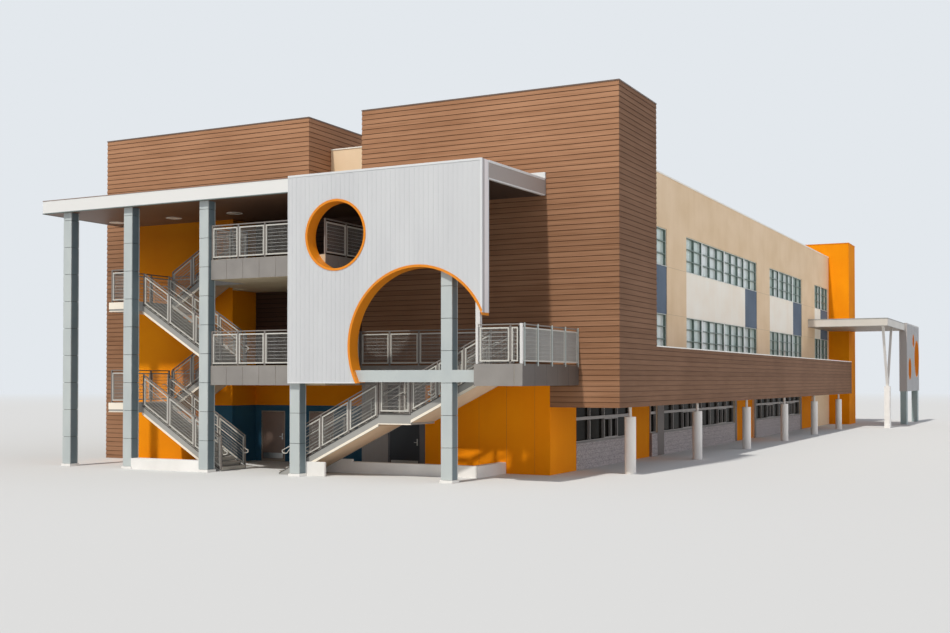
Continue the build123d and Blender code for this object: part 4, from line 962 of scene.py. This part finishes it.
for x, z, step, rise, count, near, width in FLIGHTS:
    way = 1 if step > 0 else -1
    reach = (count - 1) * step - 12 * way
    slope = rise / step
    if x == RIGHT_STAIR:
        x, z, reach = x + GUARD_START, GUARD_START * slope, reach - GUARD_START
    posts = max(2, round(abs(reach) / BAY) + 1)
    pitch = (reach - POST * way) / (posts - 1)
    clear = pitch - POST * way
    for y in (near + POST / 2, near + width - POST / 2):
        for k in range(posts - 1):
            along = k * pitch + POST * way
            bay((x + along, y, z + along * slope), (clear, 0, clear * slope), (0, 1, 0), low=73)
for level in LANDINGS:
    level_guard(-4185, -3634.5, LANDING_NEAR + 20, LANDING_NEAR + 20, level)
    level_guard(-4215, -4215, LANDING_NEAR + 50, LANDING_FAR - 50, level)
    level_guard(-4185, -3417, LANDING_FAR - 20, LANDING_FAR - 20, level)
for y in (RIGHT_NEAR + POST / 2, RIGHT_NEAR + RIGHT_WIDE - POST / 2):
    level_guard(REST_LEFT + 12, REST_RIGHT - 12, y, y, REST_LEVEL)
for level in FLOORS:
    level_guard(-1365.5, 620.5, FRONT - 2330, FRONT - 2330, level)
    level_guard(-2273, -1389.5, FRONT - 1180, FRONT - 1180, level)
level_guard(-1357.5, -1357.5, FRONT - 2280, FRONT - 1210, FLOORS[1])
level_guard(1295, 1295, FRONT - 2238, FRONT - 12, FLOORS[1])
level_guard(1295, 1295, FRONT - 2238, FRONT - 1010, FLOORS[0])
level_guard(1315, 4683, FRONT - 980, FRONT - 980, FLOORS[0])
for x, length in ((4805, 585), (5420, 140)):
    bay((x, BALCONY_FRONT + 20, FLOORS[0]), (length, 0, 0), (0, 1, 0))
level_guard(5620, 5620, BALCONY_FRONT + 20, FRONT - 12, FLOORS[0], mesh=13)
level_guard(4715, 4715, FRONT - 1238, FRONT - 960, FLOORS[0])
build("guard_panel_frames", panel_frames, frame_silver, "guard_steel")
build("guard_wires", wires, silver("light_grey_welded_wire", "#989690", "#A6A49F"), "guard_steel")
mid_posts = [block(x, x + POST, FRONT - 2595, FRONT - 2565, TOPPING, 2800) for x in (5390, 5560)]
build("balcony_mid_posts", mid_posts, guard_paint, "guard_steel", edge=1.5)
light_posts = [block(BALCONY_RIGHT - 4, BALCONY_RIGHT + 6, FRONT - y, FRONT - y + 36, 2100, 2850)
               for y in (2523, 1949, 1314, 680, 48)]
build("balcony_light_posts", light_posts, surface("light_grey_post_enamel", "#B4BCB6", 0.42), "guard_steel",
      edge=1.5)


def pipe(path, radius, count=10):
    """Points and faces of a round bar that follows a path in a plane across the building's depth."""
    path = [Vector(p) for p in path]
    turns = [2 * math.pi * k / count for k in range(count)]
    side, loops = Vector((0, 1, 0)), []
    for i, place in enumerate(path):
        before = (path[i] - path[i - 1]).normalized() if i else (path[1] - path[0]).normalized()
        after = (path[i + 1] - path[i]).normalized() if i < len(path) - 1 else before
        way = (before + after).normalized()
        over = side.cross(way).normalized() / max(0.4, way.dot(after))
        loops.append([place + side * (radius * math.cos(turn)) + over * (radius * math.sin(turn))
                      for turn in turns])
    return swept(loops)


rails = []
for x, z, step, rise, count, near, width in FLIGHTS:
    way = 1 if step > 0 else -1
    slope = rise / step
    first = x + way * (75 if x == RIGHT_STAIR else -60)
    last = x + (count - 1) * step + way * 30
    brackets = 4 if abs(step * count) > 1500 else 3
    start, end = x + way * (350 if x == RIGHT_STAIR else 15), last - way * 57
    for y, post in ((near + 62, near + 15), (near + width - 62, near + width - 15)):
        low_z, high_z = z + (first - x) * slope + RAIL_UP, z + (last - x) * slope + RAIL_UP
        loop = [(first + way * 150, y, low_z + 20), (first + way * 60, y, low_z - 75), (first, y, low_z - 75),
                (first - way * 42, y, low_z - 55), (first - way * 42, y, low_z - 20)]
        rails.append(pipe(loop + [(first, y, low_z), (last, y, high_z), (last + way * 80, y, high_z)], 10))
        for k in range(brackets):
            at = start + (end - start) * k / (brackets - 1)
            level = z + (at - x) * slope + RAIL_UP
            rails.append(pipe([(at, y, level - 8), (at, y, level - 34)], 4))
            rails.append((block(at - 4, at + 4, *sorted((y, post)), level - 42, level - 34), SIX_SIDES))
joined("stair_handrails", rails, frame_silver, "guard_steel")

# Low walls on the ground: white cast concrete; the kerbs at the stair's foot have eased edges.
dress(white_concrete, "low_walls")
kerbs = [block(650, 1290, y, y + 60, 0, 275) for y in (FRONT - 2220, FRONT - 1243)]
build("stair_foot_kerbs", kerbs, white_concrete, "white_concrete", edge=6)

# Entrance canopy: a steel roof with pale fascias, on a white pylon with two raking posts, and beside it a
# ribbed screen on legs, whose round holes are lined with orange sheet.
CANOPY_RIGHT, CANOPY_NEAR, CANOPY_BACK = 7965, 10425, 15575
ENTRANCE_FACE, ENTRANCE_NEAR = 8040, FRONT + 30350
ENTRANCE_LOW, ENTRANCE_HIGH = 1380, 4205
ENTRANCE_HOLES = ((2200, 3520, 275), (3400, 2770, 800), (950, 2315, 460))
tree = empty_tree("canopy_finishes")
fascia = shade(tree, grain(tree, 900, (1, 1, 4)), "#C9C3B9", "#D3CDC4")
# Painted shade: the canopy's underside is drawn a dark brown-grey, below its pale fascias.
dress(surface("canopy_finishes", by_side(tree, fascia, "#8B7F72"), 0.45, tree=tree), "entrance_roof")
dress(white_concrete, "entrance_support")
dress(orange_sheet, "entrance_rims")
tree = empty_tree("entrance_screen_finishes")
upper = add(tree, "Math", {0: places(tree)["Z"], 1: (ENTRANCE_LOW - 5) * MM}, operation="GREATER_THAN")
dress(surface("entrance_screen_finishes", shade(tree, upper, "#93A3A2", "#AFA9A5", 0.0, 1.0),
              0.45, grain(tree, 30), 0.15, tree), "entrance_screen")
entrance_ribs = []
for along in range(60, 4161, RIB_PITCH):
    y = ENTRANCE_NEAR + along
    entrance_ribs += [block(ENTRANCE_FACE, ENTRANCE_FACE + 7, y, y + RIB, z0, z1)
                      for z0, z1 in rib_runs(along + 12, ENTRANCE_HOLES, ENTRANCE_LOW, ENTRANCE_HIGH, 4)]
build("entrance_ribs", entrance_ribs, silver_sheet, "ribbed_metal", edge=2)
canopy_edges = []
for out, z0, z1 in ((8, 4150, 4186), (6, 3880, 3898)):
    canopy_edges += [block(CANOPY_RIGHT, CANOPY_RIGHT + out, CANOPY_NEAR - out, CANOPY_BACK, z0, z1),
                     block(WALL_SIDE, CANOPY_RIGHT, CANOPY_NEAR - out, CANOPY_NEAR, z0, z1)]
build("canopy_edges", canopy_edges, surface("grey_canopy_edge", "#9A9A96", 0.45), "stringer_paint", edge=2)

# Studio: a pale floor that fades into a pale backdrop, one broad lamp high in front and soft light all
# round, which is weaker on the left. It is written in metres.
BACKDROP = "#E3E8ED"
FLOOR_HALF, FLOOR_DOWN = 600, -0.001


def seen(tree):
    """1 where a ray comes from the camera straight, by a reflection or through glass."""
    ray = add(tree, "LightPath").node.outputs
    plain = add(tree, "Math", {0: ray["Is Camera Ray"], 1: ray["Is Glossy Ray"]}, operation="ADD")
    return add(tree, "Math", {0: plain, 1: ray["Is Transmission Ray"]}, operation="ADD", use_clamp=True)


tree = empty_tree("studio_floor")
reach = add(tree, "VectorMath", {0: add(tree, "TexCoord", out="Object")}, "Value", operation="LENGTH")
far_off = add(tree, "MapRange", {"Value": reach, "From Min": 45.0, "From Max": 150.0},
              interpolation_type="SMOOTHSTEP")
fade = add(tree, "Math", {0: seen(tree), 1: far_off}, operation="MULTIPLY")
matt = add(tree, "BsdfPrincipled", {"Base Color": linear("#D4D4D2"), "Roughness": 1.0,
                                    "Specular IOR Level": 0.0})
glow = add(tree, "Emission", {"Color": linear(BACKDROP), "Strength": 1.0})
both = add(tree, "MixShader", {0: fade, 1: matt, 2: glow})
add(tree, "OutputMaterial", {"Surface": both})
floor_mesh = bpy.data.meshes.new("studio_floor")
corners = [(x * FLOOR_HALF, y * FLOOR_HALF, FLOOR_DOWN) for x, y in ((-1, -1), (1, -1), (1, 1), (-1, 1))]
floor_mesh.from_pydata(corners, [], [(0, 1, 2, 3)])
floor_mesh.materials.append(bpy.data.materials["studio_floor"])
floor = stand("studio_floor", floor_mesh)
floor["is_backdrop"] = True

world = bpy.data.worlds.new("studio_world")
world.use_nodes = True
world.node_tree.nodes.clear()
bpy.context.scene.world = world
tree = world.node_tree
aim = add(tree, "SeparateXYZ", {0: add(tree, "TexCoord", out="Generated")}, "X")
strength = add(tree, "MapRange", {"Value": aim, "From Min": 0.0, "From Max": 1.0,
                                  "To Min": 0.33, "To Max": 1.07})
soft = add(tree, "Background", {"Color": linear("#EEF3FF"), "Strength": strength})
pale = add(tree, "Background", {"Color": linear(BACKDROP), "Strength": 1.0})
both = add(tree, "MixShader", {0: seen(tree), 1: soft, 2: pale})
add(tree, "OutputWorld", {"Surface": both})

lamp = bpy.data.lights.new("high_front_lamp", "SUN")
lamp.energy = 2.76
lamp.angle = math.radians(2)
lamp.color = (1.0, 0.97, 0.92)
lamp_object = stand("high_front_lamp", lamp)
lamp_object.rotation_euler = Vector((0.105, 1.0, -1.3)).to_track_quat("-Z", "Y").to_euler()

camera = bpy.data.cameras.new("camera")
camera.lens = 44.405
camera.sensor_width = 36
camera.shift_y = 0.0458
camera.clip_end = 2000
camera_object = stand("camera", camera)
camera_object.location = (14.0597, -35.7590, 1.8626)
camera_object.rotation_euler = (math.radians(90.954), 0, math.radians(26.926))
bpy.context.scene.camera = camera_object
bpy.context.scene.view_settings.view_transform = "Standard"

low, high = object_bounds()
